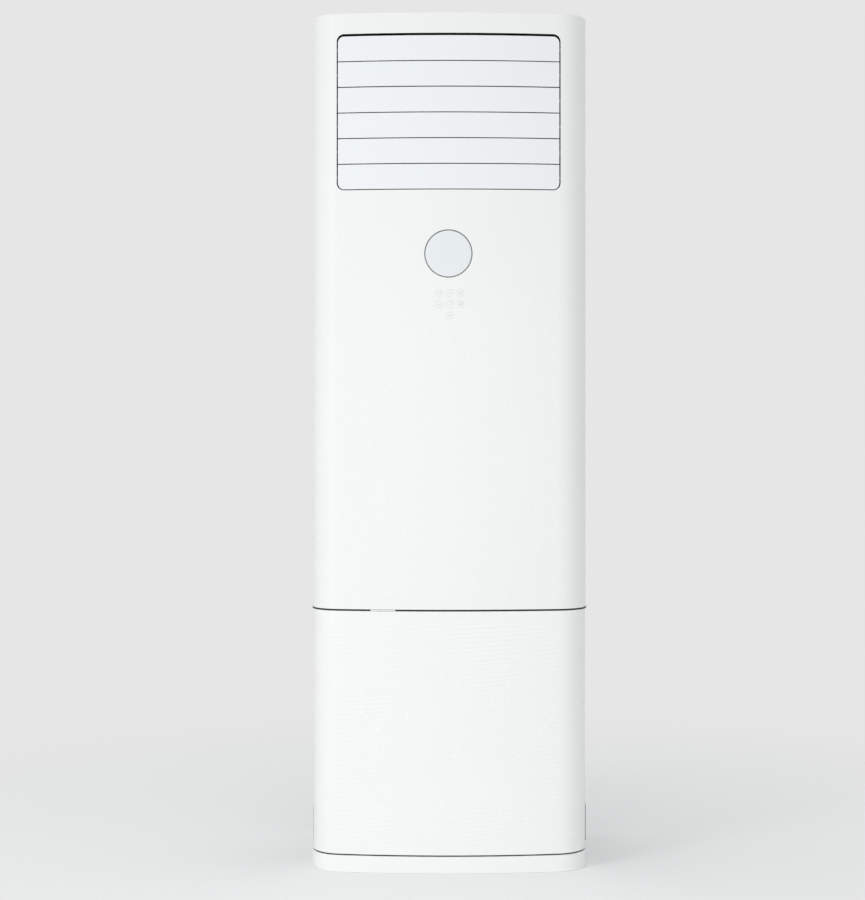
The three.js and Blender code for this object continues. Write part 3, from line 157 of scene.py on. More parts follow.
def turned(name, profile, x=0.0, z=0.0, steps=32, bend=None):
    """Turns (radius, y) round an axis along Y at x, z. bend(x) is added to y, for a bowed face."""
    vertices, faces, rings = [], [], []
    for radius, y in profile:
        ring = []
        for step in range(1 if radius == 0 else steps):
            angle = 2 * math.pi * step / steps
            px, pz = x + radius * math.cos(angle), z + radius * math.sin(angle)
            ring.append(len(vertices))
            vertices.append((px, y + (bend(px) if bend else 0.0), pz))
        rings.append(ring)
    for near, far in zip(rings, rings[1:]):
        for step in range(steps):
            after = (step + 1) % steps
            corners = [
                near[step % len(near)], near[after % len(near)], far[after % len(far)], far[step % len(far)],
            ]
            corners = list(dict.fromkeys(corners))
            if len(corners) > 2:
                faces.append(corners)
    return piece_of(name, vertices, faces)


def upright_block(name, low, high):
    x, y, z = zip(low, high)
    corners = (x[0], y[0]), (x[1], y[0]), (x[1], y[1]), (x[0], y[1])
    return loft(name, [[(*corner, level) for corner in corners] for level in z])


def outward(piece):
    """Makes every face of a closed piece look outward."""
    work = bmesh.new()
    work.from_mesh(piece.data)
    bmesh.ops.recalc_face_normals(work, faces=work.faces)
    work.to_mesh(piece.data)
    work.free()


SHARP_BESIDE_BEVEL = 60.0  # a bevelled piece stays sharp only where its faces turn by more degrees than this


def shade(piece, angle=32.0, bevel=0.0, weld=False, steps=2):
    """Rounds a piece's edges a little and shades it smooth between them."""
    if weld:
        piece.modifiers.new("weld", "WELD").merge_threshold = WELD_REACH
    if bevel:
        edge = piece.modifiers.new("edges", "BEVEL")
        edge.width = bevel
        edge.segments = steps
        edge.limit_method = "ANGLE"
        edge.angle_limit = math.radians(angle)
        edge.use_clamp_overlap = True
    smooth = piece.modifiers.new("smooth", "NODES")
    smooth.node_group = smooth_group(SHARP_BESIDE_BEVEL if bevel else angle)
    if bevel:
        piece.modifiers.new("normals", "WEIGHTED_NORMAL").keep_sharp = True


smooth_groups = {}


def smooth_group(angle):
    """Geometry nodes that shade faces smooth, apart from edges sharper than the angle."""
    if angle in smooth_groups:
        return smooth_groups[angle]
    group = bpy.data.node_groups.new(f"smooth_{angle:.0f}", "GeometryNodeTree")
    group.interface.new_socket("Geometry", in_out="INPUT", socket_type="NodeSocketGeometry")
    group.interface.new_socket("Geometry", in_out="OUTPUT", socket_type="NodeSocketGeometry")
    nodes, links = group.nodes, group.links
    entry, leave = nodes.new("NodeGroupInput"), nodes.new("NodeGroupOutput")
    faces, edges = nodes.new("GeometryNodeSetShadeSmooth"), nodes.new("GeometryNodeSetShadeSmooth")
    faces.domain, edges.domain = "FACE", "EDGE"
    faces.inputs["Shade Smooth"].default_value = True
    between, flat = nodes.new("GeometryNodeInputMeshEdgeAngle"), nodes.new("FunctionNodeCompare")
    flat.operation = "LESS_THAN"
    flat.inputs["B"].default_value = math.radians(angle)
    links.new(between.outputs["Unsigned Angle"], flat.inputs["A"])
    links.new(flat.outputs["Result"], edges.inputs["Shade Smooth"])
    links.new(entry.outputs[0], faces.inputs["Geometry"])
    links.new(faces.outputs["Geometry"], edges.inputs["Geometry"])
    links.new(edges.outputs["Geometry"], leave.inputs[0])
    smooth_groups[angle] = group
    return group


# ---- Materials ----
class Finish:
    """A Principled material whose colour, roughness and surface vary over the object, in metres."""

    def __init__(self, name, colour, roughness, metallic=0.0, coat=0.0, coat_roughness=0.05, specular=0.5):
        self.material = bpy.data.materials.new(name)
        self.material.use_nodes = True
        self.nodes, self.links = self.material.node_tree.nodes, self.material.node_tree.links
        self.shader = next(n for n in self.nodes if n.type == "BSDF_PRINCIPLED")
        for socket, value in (
            ("Metallic", metallic), ("Coat Weight", coat), ("Coat Roughness", coat_roughness),
            ("Specular IOR Level", specular),
        ):
            self.shader.inputs[socket].default_value = value
        self.colour, self.roughness = colour, roughness
        self.place = self.nodes.new("ShaderNodeTexCoord").outputs["Object"]
        self.height = None

    def wire(self, value, socket):
        if hasattr(value, "is_linked"):
            self.links.new(value, socket)
        else:
            socket.default_value = value

    def stretch(self, x, y, z):
        """Object space scaled along each axis, for streaks."""
        node = self.nodes.new("ShaderNodeMapping")
        node.inputs["Scale"].default_value = (x, y, z)
        self.links.new(self.place, node.inputs["Vector"])
        return node.outputs["Vector"]

    def noise(self, scale, detail=3.0, place=None):
        node = self.nodes.new("ShaderNodeTexNoise")
        node.inputs["Scale"].default_value = scale
        node.inputs["Detail"].default_value = detail
        self.links.new(place or self.place, node.inputs["Vector"])
        return node.outputs["Fac"]

    def cells(self, scale, output="Distance", feature="F1", place=None):
        node = self.nodes.new("ShaderNodeTexVoronoi")
        node.feature = feature
        node.inputs["Scale"].default_value = scale
        self.links.new(place or self.place, node.inputs["Vector"])
        return node.outputs[output]

    def waves(self, scale, direction):
        node = self.nodes.new("ShaderNodeTexWave")
        node.bands_direction = direction
        node.inputs["Scale"].default_value = scale
        self.links.new(self.place, node.inputs["Vector"])
        return node.outputs["Fac"]

    def ramp(self, value, low, high, from_low=0.3, from_high=0.7):
        node = self.nodes.new("ShaderNodeMapRange")
        node.inputs["From Min"].default_value = from_low
        node.inputs["From Max"].default_value = from_high
        node.inputs["To Min"].default_value = low
        node.inputs["To Max"].default_value = high
        self.links.new(value, node.inputs["Value"])
        return node.outputs["Result"]

    def mix(self, factor, first, second):
        node = self.nodes.new("ShaderNodeMix")
        node.data_type = "RGBA"
        self.wire(factor, node.inputs["Factor"])
        for value, socket in ((first, node.inputs["A"]), (second, node.inputs["B"])):
            self.wire(value if hasattr(value, "is_linked") else (*value, 1.0), socket)
        return node.outputs["Result"]

    def tint(self, factor, amount):
        """Darkens the colour by up to amount where factor is 0."""
        base = self.colour
        if hasattr(base, "is_linked"):
            node = self.nodes.new("ShaderNodeHueSaturation")
            self.links.new(base, node.inputs["Color"])
            self.links.new(self.ramp(factor, 1.0 - amount, 1.0), node.inputs["Value"])
            self.colour = node.outputs["Color"]
        else:
            self.colour = self.mix(self.ramp(factor, 0.0, 1.0), [c * (1 - amount) for c in base], base)
        return self

    def polish(self, factor, amount):
        """Varies the roughness by amount either way."""
        self.roughness = self.ramp(factor, self.roughness - amount, self.roughness + amount)
        return self

    def relief(self, height, depth):
        """Adds surface relief of the given depth."""
        node = self.nodes.new("ShaderNodeBump")
        node.inputs["Strength"].default_value = 1.0
        node.inputs["Distance"].default_value = depth
        self.links.new(height, node.inputs["Height"])
        if self.height:
            self.links.new(self.height, node.inputs["Normal"])
        self.height = node.outputs["Normal"]
        return self

    def done(self):
        base = self.colour if hasattr(self.colour, "is_linked") else (*self.colour, 1.0)
        self.wire(base, self.shader.inputs["Base Color"])
        self.wire(self.roughness, self.shader.inputs["Roughness"])
        if self.height:
            self.links.new(self.height, self.shader.inputs["Normal"])
        return self.material


def moulded(name, colour, roughness, peel=0.006, tint=0.01, **extra):
    """Moulded plastic: faint flow marks, uneven gloss and a fine orange peel of that depth in mm."""
    finish = Finish(name, colour, roughness, **extra)
    finish.tint(finish.noise(3.0), tint)
    finish.polish(finish.noise(40.0), roughness * 0.06)
    finish.relief(finish.noise(420.0, 2.0), peel * MM)
    return finish


def speckled(name, colour, roughness, **extra):
    """Moulded plastic with a spark-eroded grain."""
    finish = moulded(name, colour, roughness, **extra)
    finish.relief(finish.cells(1500.0), 0.012 * MM)
    return finish


# Each plastic is colour, roughness and, for some, what else moulded() takes.
MOULDED = {
    "front_panel": ((0.838, 0.848, 0.838), 0.28, {"peel": 0.002, "coat": 0.25, "coat_roughness": 0.2}),
    "lower_panel": ((0.852, 0.858, 0.856), 0.26, {"peel": 0.002, "coat": 0.15, "coat_roughness": 0.1}),
    "key": ((0.83, 0.84, 0.835), 0.3, {}),
    "louvre": ((0.815, 0.84, 0.862), 0.22, {"peel": 0.002, "coat": 0.3, "coat_roughness": 0.06}),
    "vane": ((0.16, 0.165, 0.17), 0.4, {}),
    "display": ((0.765, 0.795, 0.818), 0.12, {"peel": 0.001, "coat": 0.6, "coat_roughness": 0.03}),
}
SPECKLED = {
    "plinth": ((0.855, 0.862, 0.862), 0.38),
    # pipe_cover: dark grey, painted shade for the dark strips low down on the sides where the covers show
    # edge-on
    "pipe_cover": ((0.27, 0.275, 0.28), 0.42),
    # duct: near black, painted shade for the dark inside of the outlet behind the louvres
    "duct": ((0.10, 0.103, 0.106), 0.5),
    "link": ((0.36, 0.38, 0.39), 0.45),
    "drain_pan": ((0.36, 0.38, 0.39), 0.5),
    "grille": ((0.76, 0.765, 0.76), 0.4),
    "terminal": ((0.03, 0.03, 0.033), 0.45),
    # seam_strip: near black, painted shade standing in for the dark gap of the seam between the panels
    "seam_strip": ((0.014, 0.014, 0.016), 0.5),
    "wheel": ((0.02, 0.022, 0.024), 0.4),
}


def casing():
    """Painted sheet."""
    paint = Finish("casing", (0.80, 0.81, 0.80), 0.36, coat=0.1, coat_roughness=0.2)
    paint.tint(paint.noise(2.0), 0.02).polish(paint.noise(25.0), 0.06)
    paint.relief(paint.noise(260.0, 3.0), 0.02 * MM).relief(paint.noise(1400.0), 0.004 * MM)
    return paint.done()


def circuit_board():
    """Lacquer with tracks and solder pads."""
    board = Finish("circuit_board", (0.03, 0.13, 0.06), 0.35)
    tracks = board.cells(160.0, feature="DISTANCE_TO_EDGE", place=board.stretch(1.0, 0.2, 1.7))
    pads = board.ramp(board.cells(420.0), 1.0, 0.0, 0.12, 0.2)
    on_track = board.ramp(tracks, 1.0, 0.0, 0.04, 0.09)
    board.colour = board.mix(on_track, (0.022, 0.10, 0.045), (0.05, 0.20, 0.09))
    board.colour = board.mix(pads, board.colour, (0.62, 0.6, 0.52))
    return board.relief(tracks, 0.03 * MM).done()


def galvanised():
    """Zinc with its spangle."""
    zinc = Finish("galvanised", (0.56, 0.58, 0.59), 0.38, metallic=1.0)
    spangle = zinc.nodes.new("ShaderNodeSeparateColor")
    zinc.links.new(zinc.cells(90.0, "Color"), spangle.inputs["Color"])
    zinc.tint(spangle.outputs["Red"], 0.22).polish(spangle.outputs["Green"], 0.09)
    return zinc.relief(zinc.noise(500.0), 0.006 * MM).done()


def motor():
    """Brushed steel."""
    steel = Finish("motor", (0.42, 0.43, 0.44), 0.34, metallic=1.0)
    steel.tint(steel.noise(900.0, 2.0, steel.stretch(1.0, 0.06, 1.0)), 0.2).polish(steel.noise(60.0), 0.08)
    return steel.relief(steel.noise(1600.0, 2.0, steel.stretch(1.0, 0.06, 1.0)), 0.01 * MM).done()


def coil():
    """Thin aluminium fins, edge on, with painted shade in the gaps between them."""
    fins = Finish("coil", (0.72, 0.74, 0.76), 0.3, metallic=1.0)
    fins_and_gap_shade = fins.waves(90.0, "X")
    # the dark half of each band is painted shade between the fins
    return fins.tint(fins_and_gap_shade, 0.5).tint(fins.noise(18.0), 0.12).relief(fins_and_gap_shade, 0.8 * MM).done()


def copper():
    """Copper with some tarnish."""
    bright, dull = (0.74, 0.36, 0.2), (0.34, 0.16, 0.1)
    tube = Finish("copper", bright, 0.26, metallic=1.0)
    tube.colour = tube.mix(tube.ramp(tube.noise(45.0), 0.0, 0.6), bright, dull)
    return tube.polish(tube.noise(70.0), 0.1).relief(tube.noise(900.0), 0.008 * MM).done()


def foam():
    """Beaded polystyrene."""
    block = Finish("foam", (0.76, 0.76, 0.71), 0.9, specular=0.2)
    beads = block.cells(260.0, feature="DISTANCE_TO_EDGE")
    return block.tint(block.ramp(beads, 0.0, 1.0, 0.0, 0.12), 0.18).relief(beads, 0.6 * MM).done()


def filter_net():
    """A fine woven net, with its openings painted near black as shade."""
    net = Finish("filter", (0.24, 0.26, 0.28), 0.6)
    threads = net.nodes.new("ShaderNodeMath")
    threads.operation = "MAXIMUM"
    for socket, direction in zip(threads.inputs, "YZ"):
        net.links.new(net.waves(190.0, direction), socket)
    threads_and_hole_shade = threads.outputs[0]
    # the openings between the threads are painted near black, as shade
    net.colour = net.mix(net.ramp(threads_and_hole_shade, 0.0, 1.0, 0.55, 0.95), (0.03, 0.033, 0.036), (0.30, 0.32, 0.34))
    return net.relief(threads_and_hole_shade, 0.25 * MM).done()


def ring_trim_and_shade():
    """The satin ring round the display, its dark grey partly painted shade of the recess round the lens."""
    satin = Finish("ring_trim_and_shade", (0.3, 0.31, 0.32), 0.3, metallic=0.5)
    return satin.tint(satin.noise(60.0), 0.08).relief(satin.noise(900.0), 0.003 * MM).done()


def ink():
    """The print on the keys."""
    print_grey = Finish("ink", (0.42, 0.43, 0.44), 0.45)
    return print_grey.tint(print_grey.noise(600.0), 0.15).relief(print_grey.noise(2500.0), 0.004 * MM).done()


materials = {name: moulded(name, *look, **extra).done() for name, (*look, extra) in MOULDED.items()}
materials |= {name: speckled(name, *look).done() for name, look in SPECKLED.items()}
materials |= {
    "casing": casing(), "circuit_board": circuit_board(), "galvanised": galvanised(), "motor": motor(),
    "coil": coil(), "copper": copper(), "foam": foam(), "filter": filter_net(), "ring_trim_and_shade": ring_trim_and_shade(), "ink": ink(),
    # the catch's pale colour is partly a painted glint in the dark seam
    "catch_painted_glint": Finish("catch_painted_glint", (0.84, 0.84, 0.84), 0.3).done(),
}


def dress(piece, slot, body=None, material=None):
    """Gives a piece its material, the slot's own unless another is named, and the body it moves with."""
    piece.data.materials.clear()
    piece.data.materials.append(materials[material or slot])
    if body:
        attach(piece, body)
    return piece


# ---- The carried-over nodes ----
REPLACED = {"upper_front_panel", "lower_front_panel", "display_window"}
REPLACED |= {f"key_{i}" for i in KEYS} | {f"louvre_{i}" for i in LOUVRES}
ROUNDED = {"plinth": 0.4, "casing": 0.35, "pipe_cover": 0.6, "grille": 0.3, "link": 0.2}  # edges, in mm
for part in frame["record"]["subparts"]:
    node, slot = part["node"], part["material_slot"]
    if node in REPLACED:
        continue
    solid = frame["nodes"][node]
    solid.data.materials.clear()
    solid.data.materials.append(materials[slot])
    shade(solid, angle=32.0, bevel=ROUNDED.get(slot, 0.0) * MM, weld=True)


# ---- Louvres, a little lower than the solids so that a shadow gap shows between them ----
LIP = 0.42 * MM  # taken off the long edges of each blade
LIP_DEPTH = 24 * MM  # as far back as this from the blade's front
BLADE_EDGE = 0.25 * MM


def louvre(index):
    blade = bpy.data.objects.new(f"louvre_blade_{index}", frame["nodes"][f"louvre_{index}"].data.copy())
    bpy.context.scene.collection.objects.link(blade)
    low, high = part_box(f"louvre_{index}")
    for z0, z1 in ((low.z - MM, low.z + LIP), (high.z - LIP, high.z + MM)):
        corners = (low.x - MM, low.y - MM, z0), (high.x + MM, low.y + LIP_DEPTH, z1)
        cut(blade, upright_block("edge", *corners))
    shade(blade, angle=32.0, bevel=BLADE_EDGE, weld=True)
    dress(blade, "louvre", f"louvre_{index}")
    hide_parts(f"louvre_{index}")


for index in LOUVRES:
    louvre(index)


# ---- Upper front panel ----
INNER_FILLET = 1 * MM
PANEL_EDGE = 0.4 * MM
KEY_HOLE_EDGE = 0.1 * MM
CUT_Y = (FRONT - 10 * MM, FRONT + 40 * MM)  # what cuts the panel reaches from here to here


def cabinet_rows(inset, top, fillet, base, rear):
    """Rings of the panel's outline from its base to its rounded top."""
    rows = [[(x, y, z) for x, y in outline(upper_high.x, inset, rear)] for z in (base, top - fillet - 2 * MM)]
    for step in range(6):
        angle = math.pi / 2 * step / 5
        edge = outline(upper_high.x, inset + fillet * (1 - math.cos(angle)), rear)
        rows.append([(x, y, top - fillet + fillet * math.sin(angle)) for x, y in edge])
    return rows


def rounded_window(low_x, high_x, low_z, high_z, radius, steps=10):
    """(x, z) round a rectangle with round corners."""
    points = []
    for cx, cz, start in (
        (high_x - radius, high_z - radius, 0), (low_x + radius, high_z - radius, 1),
        (low_x + radius, low_z + radius, 2), (high_x - radius, low_z + radius, 3),
    ):
        for step in range(steps + 1):
            angle = math.pi / 2 * (start + step / steps)
            points.append((cx + radius * math.cos(angle), cz + radius * math.sin(angle)))
    return points


def drill(shell, x, z, radius, steps):
    near, far = CUT_Y
    cut(shell, turned("hole", [(0, near), (radius, near), (radius, far), (0, far)], x, z, steps))


def key_middle(index):
    low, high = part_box(f"key_{index}")
    return (low.x + high.x) / 2, (low.z + high.z) / 2


def upper_panel():
    shell = loft("upper_panel_shell", cabinet_rows(0.0, upper_high.z, TOP_FILLET, upper_low.z, SEAM_Y))
    hollow = loft("hollow", cabinet_rows(
        PANEL_WALL, upper_high.z - PANEL_WALL, INNER_FILLET, upper_low.z - 5 * MM, SEAM_Y + 10 * MM))
    cut(shell, hollow)
    first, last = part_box("louvre_1"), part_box("louvre_6")
    edge = rounded_window(
        -WINDOW_HALF, WINDOW_HALF, last[0].z - WINDOW_SILL, first[1].z + WINDOW_ROOM, WINDOW_RADIUS)
    cut(shell, loft("window", [[(x, y, z) for x, z in edge] for y in CUT_Y]))
    drill(shell, 0.0, DISPLAY_Z, DISPLAY_RADIUS + DISPLAY_GAP, 72)
    shade(shell, angle=40.0, bevel=PANEL_EDGE, steps=3)
    settle(shell)
    for index in KEYS:
        drill(shell, *key_middle(index), KEY_RADIUS + KEY_GAP, 32)
    return shell


upper = upper_panel()
shade(upper, angle=40.0, bevel=KEY_HOLE_EDGE)
dress(upper, "front_panel", "cabinet")
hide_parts("upper_front_panel")


# ---- Lower front panel ----
RIPPLE_PITCH = 9.7 * MM
RIPPLE_DEPTH = 0.5 * MM
RIPPLE_HALF = 262 * MM
RIPPLE_STEP = 1.3 * MM
RIPPLE_SLOPE = 0.09
RIPPLE_WANDER = 9 * MM
LOWER_INSET = 0.2 * MM
LOWER_EDGE = 0.4 * MM


def smoothstep(value):
    value = min(max(value, 0.0), 1.0)
    return value * value * (3 - 2 * value)


def ripple(x, z):
    """How far the fine wavy ripple of the lower panel stands out."""
    wander = RIPPLE_WANDER * noise.noise(Vector((x * 5.0, z * 6.0, 0.3)))
    patch = 0.62 + 0.6 * noise.noise(Vector((x * 7.0, z * 9.0, 4.1)))
    edge = smoothstep((RIPPLE_HALF - abs(x)) / (18 * MM))
    head = smoothstep((lower_high.z - 14 * MM - z) / (20 * MM))
    foot = smoothstep((z - lower_low.z - 8 * MM) / (14 * MM))
    wave = 0.5 + 0.5 * math.sin(2 * math.pi * (z - RIPPLE_SLOPE * x + wander) / RIPPLE_PITCH)
    return RIPPLE_DEPTH * wave * max(patch, 0.1) * edge * head * foot


def lower_panel():
    """A shell: up the rippled front, in over the top rim, down the inner face and out over the bottom rim."""
    half, bottom, top = lower_high.x, lower_low.z, lower_high.z
    steps = int((top - bottom - 4 * MM) / RIPPLE_STEP)
    rows = []

    def row(inset, z, waved=False):
        points = outline(half, inset)
        if waved:
            points = [(x, y - (ripple(x, z) if abs(x) < RIPPLE_HALF else 0.0)) for x, y in points]
        rows.append([(x, y, z) for x, y in points])

    row(LOWER_INSET + LOWER_EDGE, bottom)
    for angle in (30, 60):
        turn = math.radians(angle)
        row(LOWER_INSET + LOWER_EDGE * (1 - math.sin(turn)), bottom + LOWER_EDGE * (1 - math.cos(turn)))
    for step in range(steps + 1):
        row(LOWER_INSET, bottom + LOWER_EDGE + (top - bottom - 2 * LOWER_EDGE) * step / steps, waved=True)
    for angle in (60, 30):
        turn = math.radians(angle)
        row(LOWER_INSET + LOWER_EDGE * (1 - math.sin(turn)), top - LOWER_EDGE * (1 - math.cos(turn)))
    row(LOWER_INSET + LOWER_EDGE, top)
    row(RIM_DEPTH, top)
    row(RIM_DEPTH, top - RIM_WALL)
    row(PANEL_WALL, top - RIM_WALL)
    row(PANEL_WALL, bottom + RIM_WALL)
    row(RIM_DEPTH, bottom + RIM_WALL)
    row(RIM_DEPTH, bottom)
    count = len(rows[0])
    faces = grid_faces(len(rows), count)
    last = (len(rows) - 1) * count
    faces += [(last + i, last + i + 1, i + 1, i) for i in range(count - 1)]
    faces.append(tuple(i * count for i in range(len(rows))))
    faces.append(tuple(i * count + count - 1 for i in reversed(range(len(rows)))))
    shell = piece_of("lower_panel_shell", [p for r in rows for p in r], faces)
    outward(shell)
    return shell


lower = lower_panel()
shade(lower, angle=34.0)
dress(lower, "lower_panel", "lower_panel")
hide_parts("lower_front_panel")


def panel_peg(name, x, z):
    """A stepped peg on the panel's inner face, with a tapered tip."""
    root = bow_at(PEG_X, PANEL_WALL) - 0.5 * MM
    foot, tip = root + PEG_FOOT, PEG_END
    peg = turned(name, [
        (0, root), (7.4 * MM, root), (6.8 * MM, root + 1 * MM), (6.5 * MM, foot - 1 * MM), (5.6 * MM, foot),
        (PEG_RADIUS, foot + 0.6 * MM), (PEG_RADIUS, tip - 3 * MM), (3.4 * MM, tip - 1 * MM), (2.2 * MM, tip),
        (0, tip),
    ], x, z, 28)
    outward(peg)
    shade(peg, angle=40.0)
    dress(peg, "lower_panel", "lower_panel")


for side, x in (("left", -PEG_X), ("right", PEG_X)):
    for level, z in zip(("low", "high"), PEG_Z):
        panel_peg(f"lower_panel_peg_{level}_{side}", x, z)


# ---- Display ----
DISPLAY_SET_BACK = 0.25 * MM
DISPLAY_THICKNESS = 2.2 * MM
RING_WIDTH = 1.6 * MM


def display_face(x):
    return bow_at(x) + DISPLAY_SET_BACK


def display():
    rim, rear = DISPLAY_RADIUS - RING_WIDTH, DISPLAY_THICKNESS
    lens = turned("display_lens", [
        (0, 0.0), (rim * 0.25, 0.0), (rim * 0.5, 0.0), (rim * 0.75, 0.0), (rim - 1.2 * MM, 0.0),
        (rim - 0.5 * MM, 0.12 * MM), (rim - 0.1 * MM, 0.45 * MM), (rim, 0.9 * MM), (rim, rear), (0, rear),
    ], 0.0, DISPLAY_Z, 96, display_face)
    ring = turned("display_ring", [
        (rim + 0.05 * MM, rear), (rim + 0.05 * MM, 0.75 * MM), (rim + 0.3 * MM, 0.45 * MM),
        (rim + 0.9 * MM, 0.45 * MM), (rim + 1.3 * MM, 0.7 * MM), (rim + 1.55 * MM, 1.1 * MM),
        (rim + 1.55 * MM, rear), (rim + 0.05 * MM, rear),
    ], 0.0, DISPLAY_Z, 96, display_face)
    for part in (lens, ring):
        outward(part)
        shade(part, angle=40.0)
        # the ring's dark grey is partly painted shade of the recess round the lens
        dress(part, "display", "cabinet", "ring_trim_and_shade" if part is ring else None)
    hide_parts("display_window")


display()


# ---- Keys, each a domed cap with a flange behind the panel and a stem ----
KEY_CREST = 0.04 * MM  # how far the cap's middle lies behind the panel's face
FLANGE_GAP = 0.8 * MM
FLANGE_RADIUS = 9 * MM
FLANGE_THICKNESS = 1.2 * MM
STEM_RADIUS = 2.4 * MM
MARK_Y = (KEY_CREST - 0.06 * MM, KEY_CREST + 0.3 * MM)  # front and back of a mark, behind the panel's face


def bar_mark(x, z, width, height):
    return [(x - width / 2, z - height / 2), (x + width / 2, z - height / 2),
            (x + width / 2, z + height / 2), (x - width / 2, z + height / 2)]


def ring_mark(x, z, radius, width, steps=20):
    return [[(x + r * math.cos(2 * math.pi * i / steps), z + r * math.sin(2 * math.pi * i / steps))
             for i in range(steps)] for r in (radius, radius - width)]


# Each mark is bars (x, z, width, height) and rings (x, z, radius, width) in mm from the key's middle.
DASHES = [("bar", -2.9, 0, 2.2, 0.75), ("bar", 0, 0, 2.2, 0.75), ("bar", 2.9, 0, 2.2, 0.75)]
MARKS = {
    1: DASHES,
    2: [("bar", 0, 0, 3.2, 0.45), ("bar", 0, 0.9, 0.45, 1.4), ("bar", 0, -0.9, 0.45, 1.4)],
    3: [("ring", -2.2, 0, 1.0, 0.5), ("bar", 1.6, 0, 4.2, 0.75)],
    4: [("bar", -2.2, 0, 3.6, 0.75), ("bar", 2.2, 0, 3.6, 0.75)],
    5: [("bar", 0, 0, 3.2, 0.45)],
    6: [("bar", 0, 0.9, 7.2, 0.6), ("bar", 0, -0.9, 7.2, 0.6)],
    7: [("bar", -2.9, 0, 1.2, 0.75), ("bar", 1.0, 0, 5.2, 0.75)],
}


def key_cap(index, x, z, flange):
    face = FRONT + KEY_CREST
    return turned(f"key_cap_{index}", [
        (0, face), (2.5 * MM, face + 0.02 * MM), (5 * MM, face + 0.08 * MM), (7.3 * MM, face + 0.1 * MM),
        (7.5 * MM, face + 0.17 * MM), (KEY_RADIUS, face + 0.35 * MM), (KEY_RADIUS, flange + 0.1 * MM),
    ], x, z, 40, lambda px: bow_at(px) - FRONT)


def key_stem(index, x, z, flange, end):
    back, chamfer = flange + FLANGE_THICKNESS, 0.2 * MM
    return turned(f"key_stem_{index}", [
        (0, flange), (FLANGE_RADIUS - chamfer, flange), (FLANGE_RADIUS, flange + chamfer),
        (FLANGE_RADIUS, back - chamfer), (FLANGE_RADIUS - chamfer, back), (STEM_RADIUS, back),
        (STEM_RADIUS, end - 0.4 * MM), (2.0 * MM, end), (0, end),
    ], x, z, 24)


def key_mark(index, x, z, kind, shape):
    """A bar or a ring, sunk into the cap and following the bowed face."""
    front, back = MARK_Y
    name = f"key_mark_{index}"
    across, up, *sizes = [value * MM for value in shape]
    if kind == "bar":
        flat = bar_mark(x + across, z + up, *sizes)
        return loft(name, [[(px, bow_at(px) + d, pz) for px, pz in flat] for d in (front, back)])
    outer, inner = ring_mark(x + across, z + up, *sizes)
    rings = (outer, back), (outer, front), (inner, front), (inner, back), (outer, back)
    rows = [[(px, bow_at(px) + d, pz) for px, pz in ring] for ring, d in rings]
    return piece_of(name, [p for r in rows for p in r], grid_faces(len(rows), len(outer), closed=True))


def key_piece(index):
    x, z = key_middle(index)
    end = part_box(f"key_{index}")[1].y
    flange = FRONT + PANEL_WALL + FLANGE_GAP
    cap = key_cap(index, x, z, flange)
    stem = key_stem(index, x, z, flange, end)
    marks = [key_mark(index, x, z, kind, shape) for kind, *shape in MARKS[index]]
    outward(cap)
    outward(stem)
    shade(cap, angle=50.0)
    shade(stem, angle=40.0)
    dress(cap, "key", f"key_{index}")
    dress(stem, "key", f"key_{index}")
    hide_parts(f"key_{index}")
    for mark in marks:
        outward(mark)
        shade(mark, angle=40.0)
        dress(mark, "key", f"key_{index}", "ink")


for index in KEYS:
    key_piece(index)


# ---- A pale catch in the dark seam, its pale colour partly a painted glint ----
CATCH_LEFT = -169 * MM
CATCH_LENGTH = 54 * MM
CATCH_STEPS = 12
CATCH_Y = (1.2 * MM, 3.4 * MM)  # its front and back, behind the panels' faces
CATCH_ROOM = 0.4 * MM  # above and below it


def seam_catch_glint():
    low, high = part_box("seam_strip")
    z0, z1 = low.z + CATCH_ROOM, high.z - CATCH_ROOM
    xs = [CATCH_LEFT + CATCH_LENGTH * i / CATCH_STEPS for i in range(CATCH_STEPS + 1)]
    front = [(x, bow_at(x) + CATCH_Y[0]) for x in xs]
    back = [(x, bow_at(x) + CATCH_Y[1]) for x in reversed(xs)]
    catch_painted_glint = loft("seam_catch_glint", [[(x, y, z) for x, y in front + back] for z in (z0, z1)])
    outward(catch_painted_glint)
    shade(catch_painted_glint, angle=40.0, bevel=0.5 * MM)
    dress(catch_painted_glint, "seam_strip", "cabinet", "catch_painted_glint")


seam_catch_glint()


# ---- The screws down the rear edges of the casing ----
SCREW_RADIUS = 4.2 * MM
SCREW_HEIGHT = 1.3 * MM
SCREW_INSET = 7 * MM
SCREW_LEVELS = (0.11, 0.56, 1.01, 1.46, 1.80)
SLOT_LENGTH = 3.8 * MM
SLOT_WIDTH = 0.9 * MM
SLOT_DEPTH = 0.8 * MM


def screw(name, x, y, z):
    """A domed head with a cross slot, whose face looks to the rear."""
    head, crown = SCREW_RADIUS, y + SCREW_HEIGHT
    body = turned(name, [
        (0, y - 0.4 * MM), (head - 0.2 * MM, y - 0.4 * MM), (head, y + 0.3 * MM),
        (head * 0.93, y + SCREW_HEIGHT * 0.55), (head * 0.75, y + SCREW_HEIGHT * 0.85), (head * 0.45, crown),
        (0, crown),
    ], x, z, 28)
    for wide, tall in ((SLOT_LENGTH, SLOT_WIDTH), (SLOT_WIDTH, SLOT_LENGTH)):
        low = (x - wide / 2, crown - SLOT_DEPTH, z - tall / 2)
        cut(body, upright_block("slot", low, (x + wide / 2, crown + MM, z + tall / 2)))
    shade(body, angle=40.0)
    dress(body, "galvanised", "cabinet")


side_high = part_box("right_side_panel")[1]
for side, edge_x in (("left", SCREW_INSET - side_high.x), ("right", side_high.x - SCREW_INSET)):
    for number, height in enumerate(SCREW_LEVELS, start=1):
        screw(f"rear_screw_{side}_{number}", edge_x, side_high.y, height)


# ---- Floor, light and camera ----
FLOOR_GREY = 0.8
FLOOR_SEEN = 0.89  # to the camera, so that it meets the background
FLOOR_REACH = 3.2
FLOOR_SIDES = 96
FLOOR_DROP = 0.3 * MM
FADE = (0.4, 2.0)  # the floor turns into the background between these distances


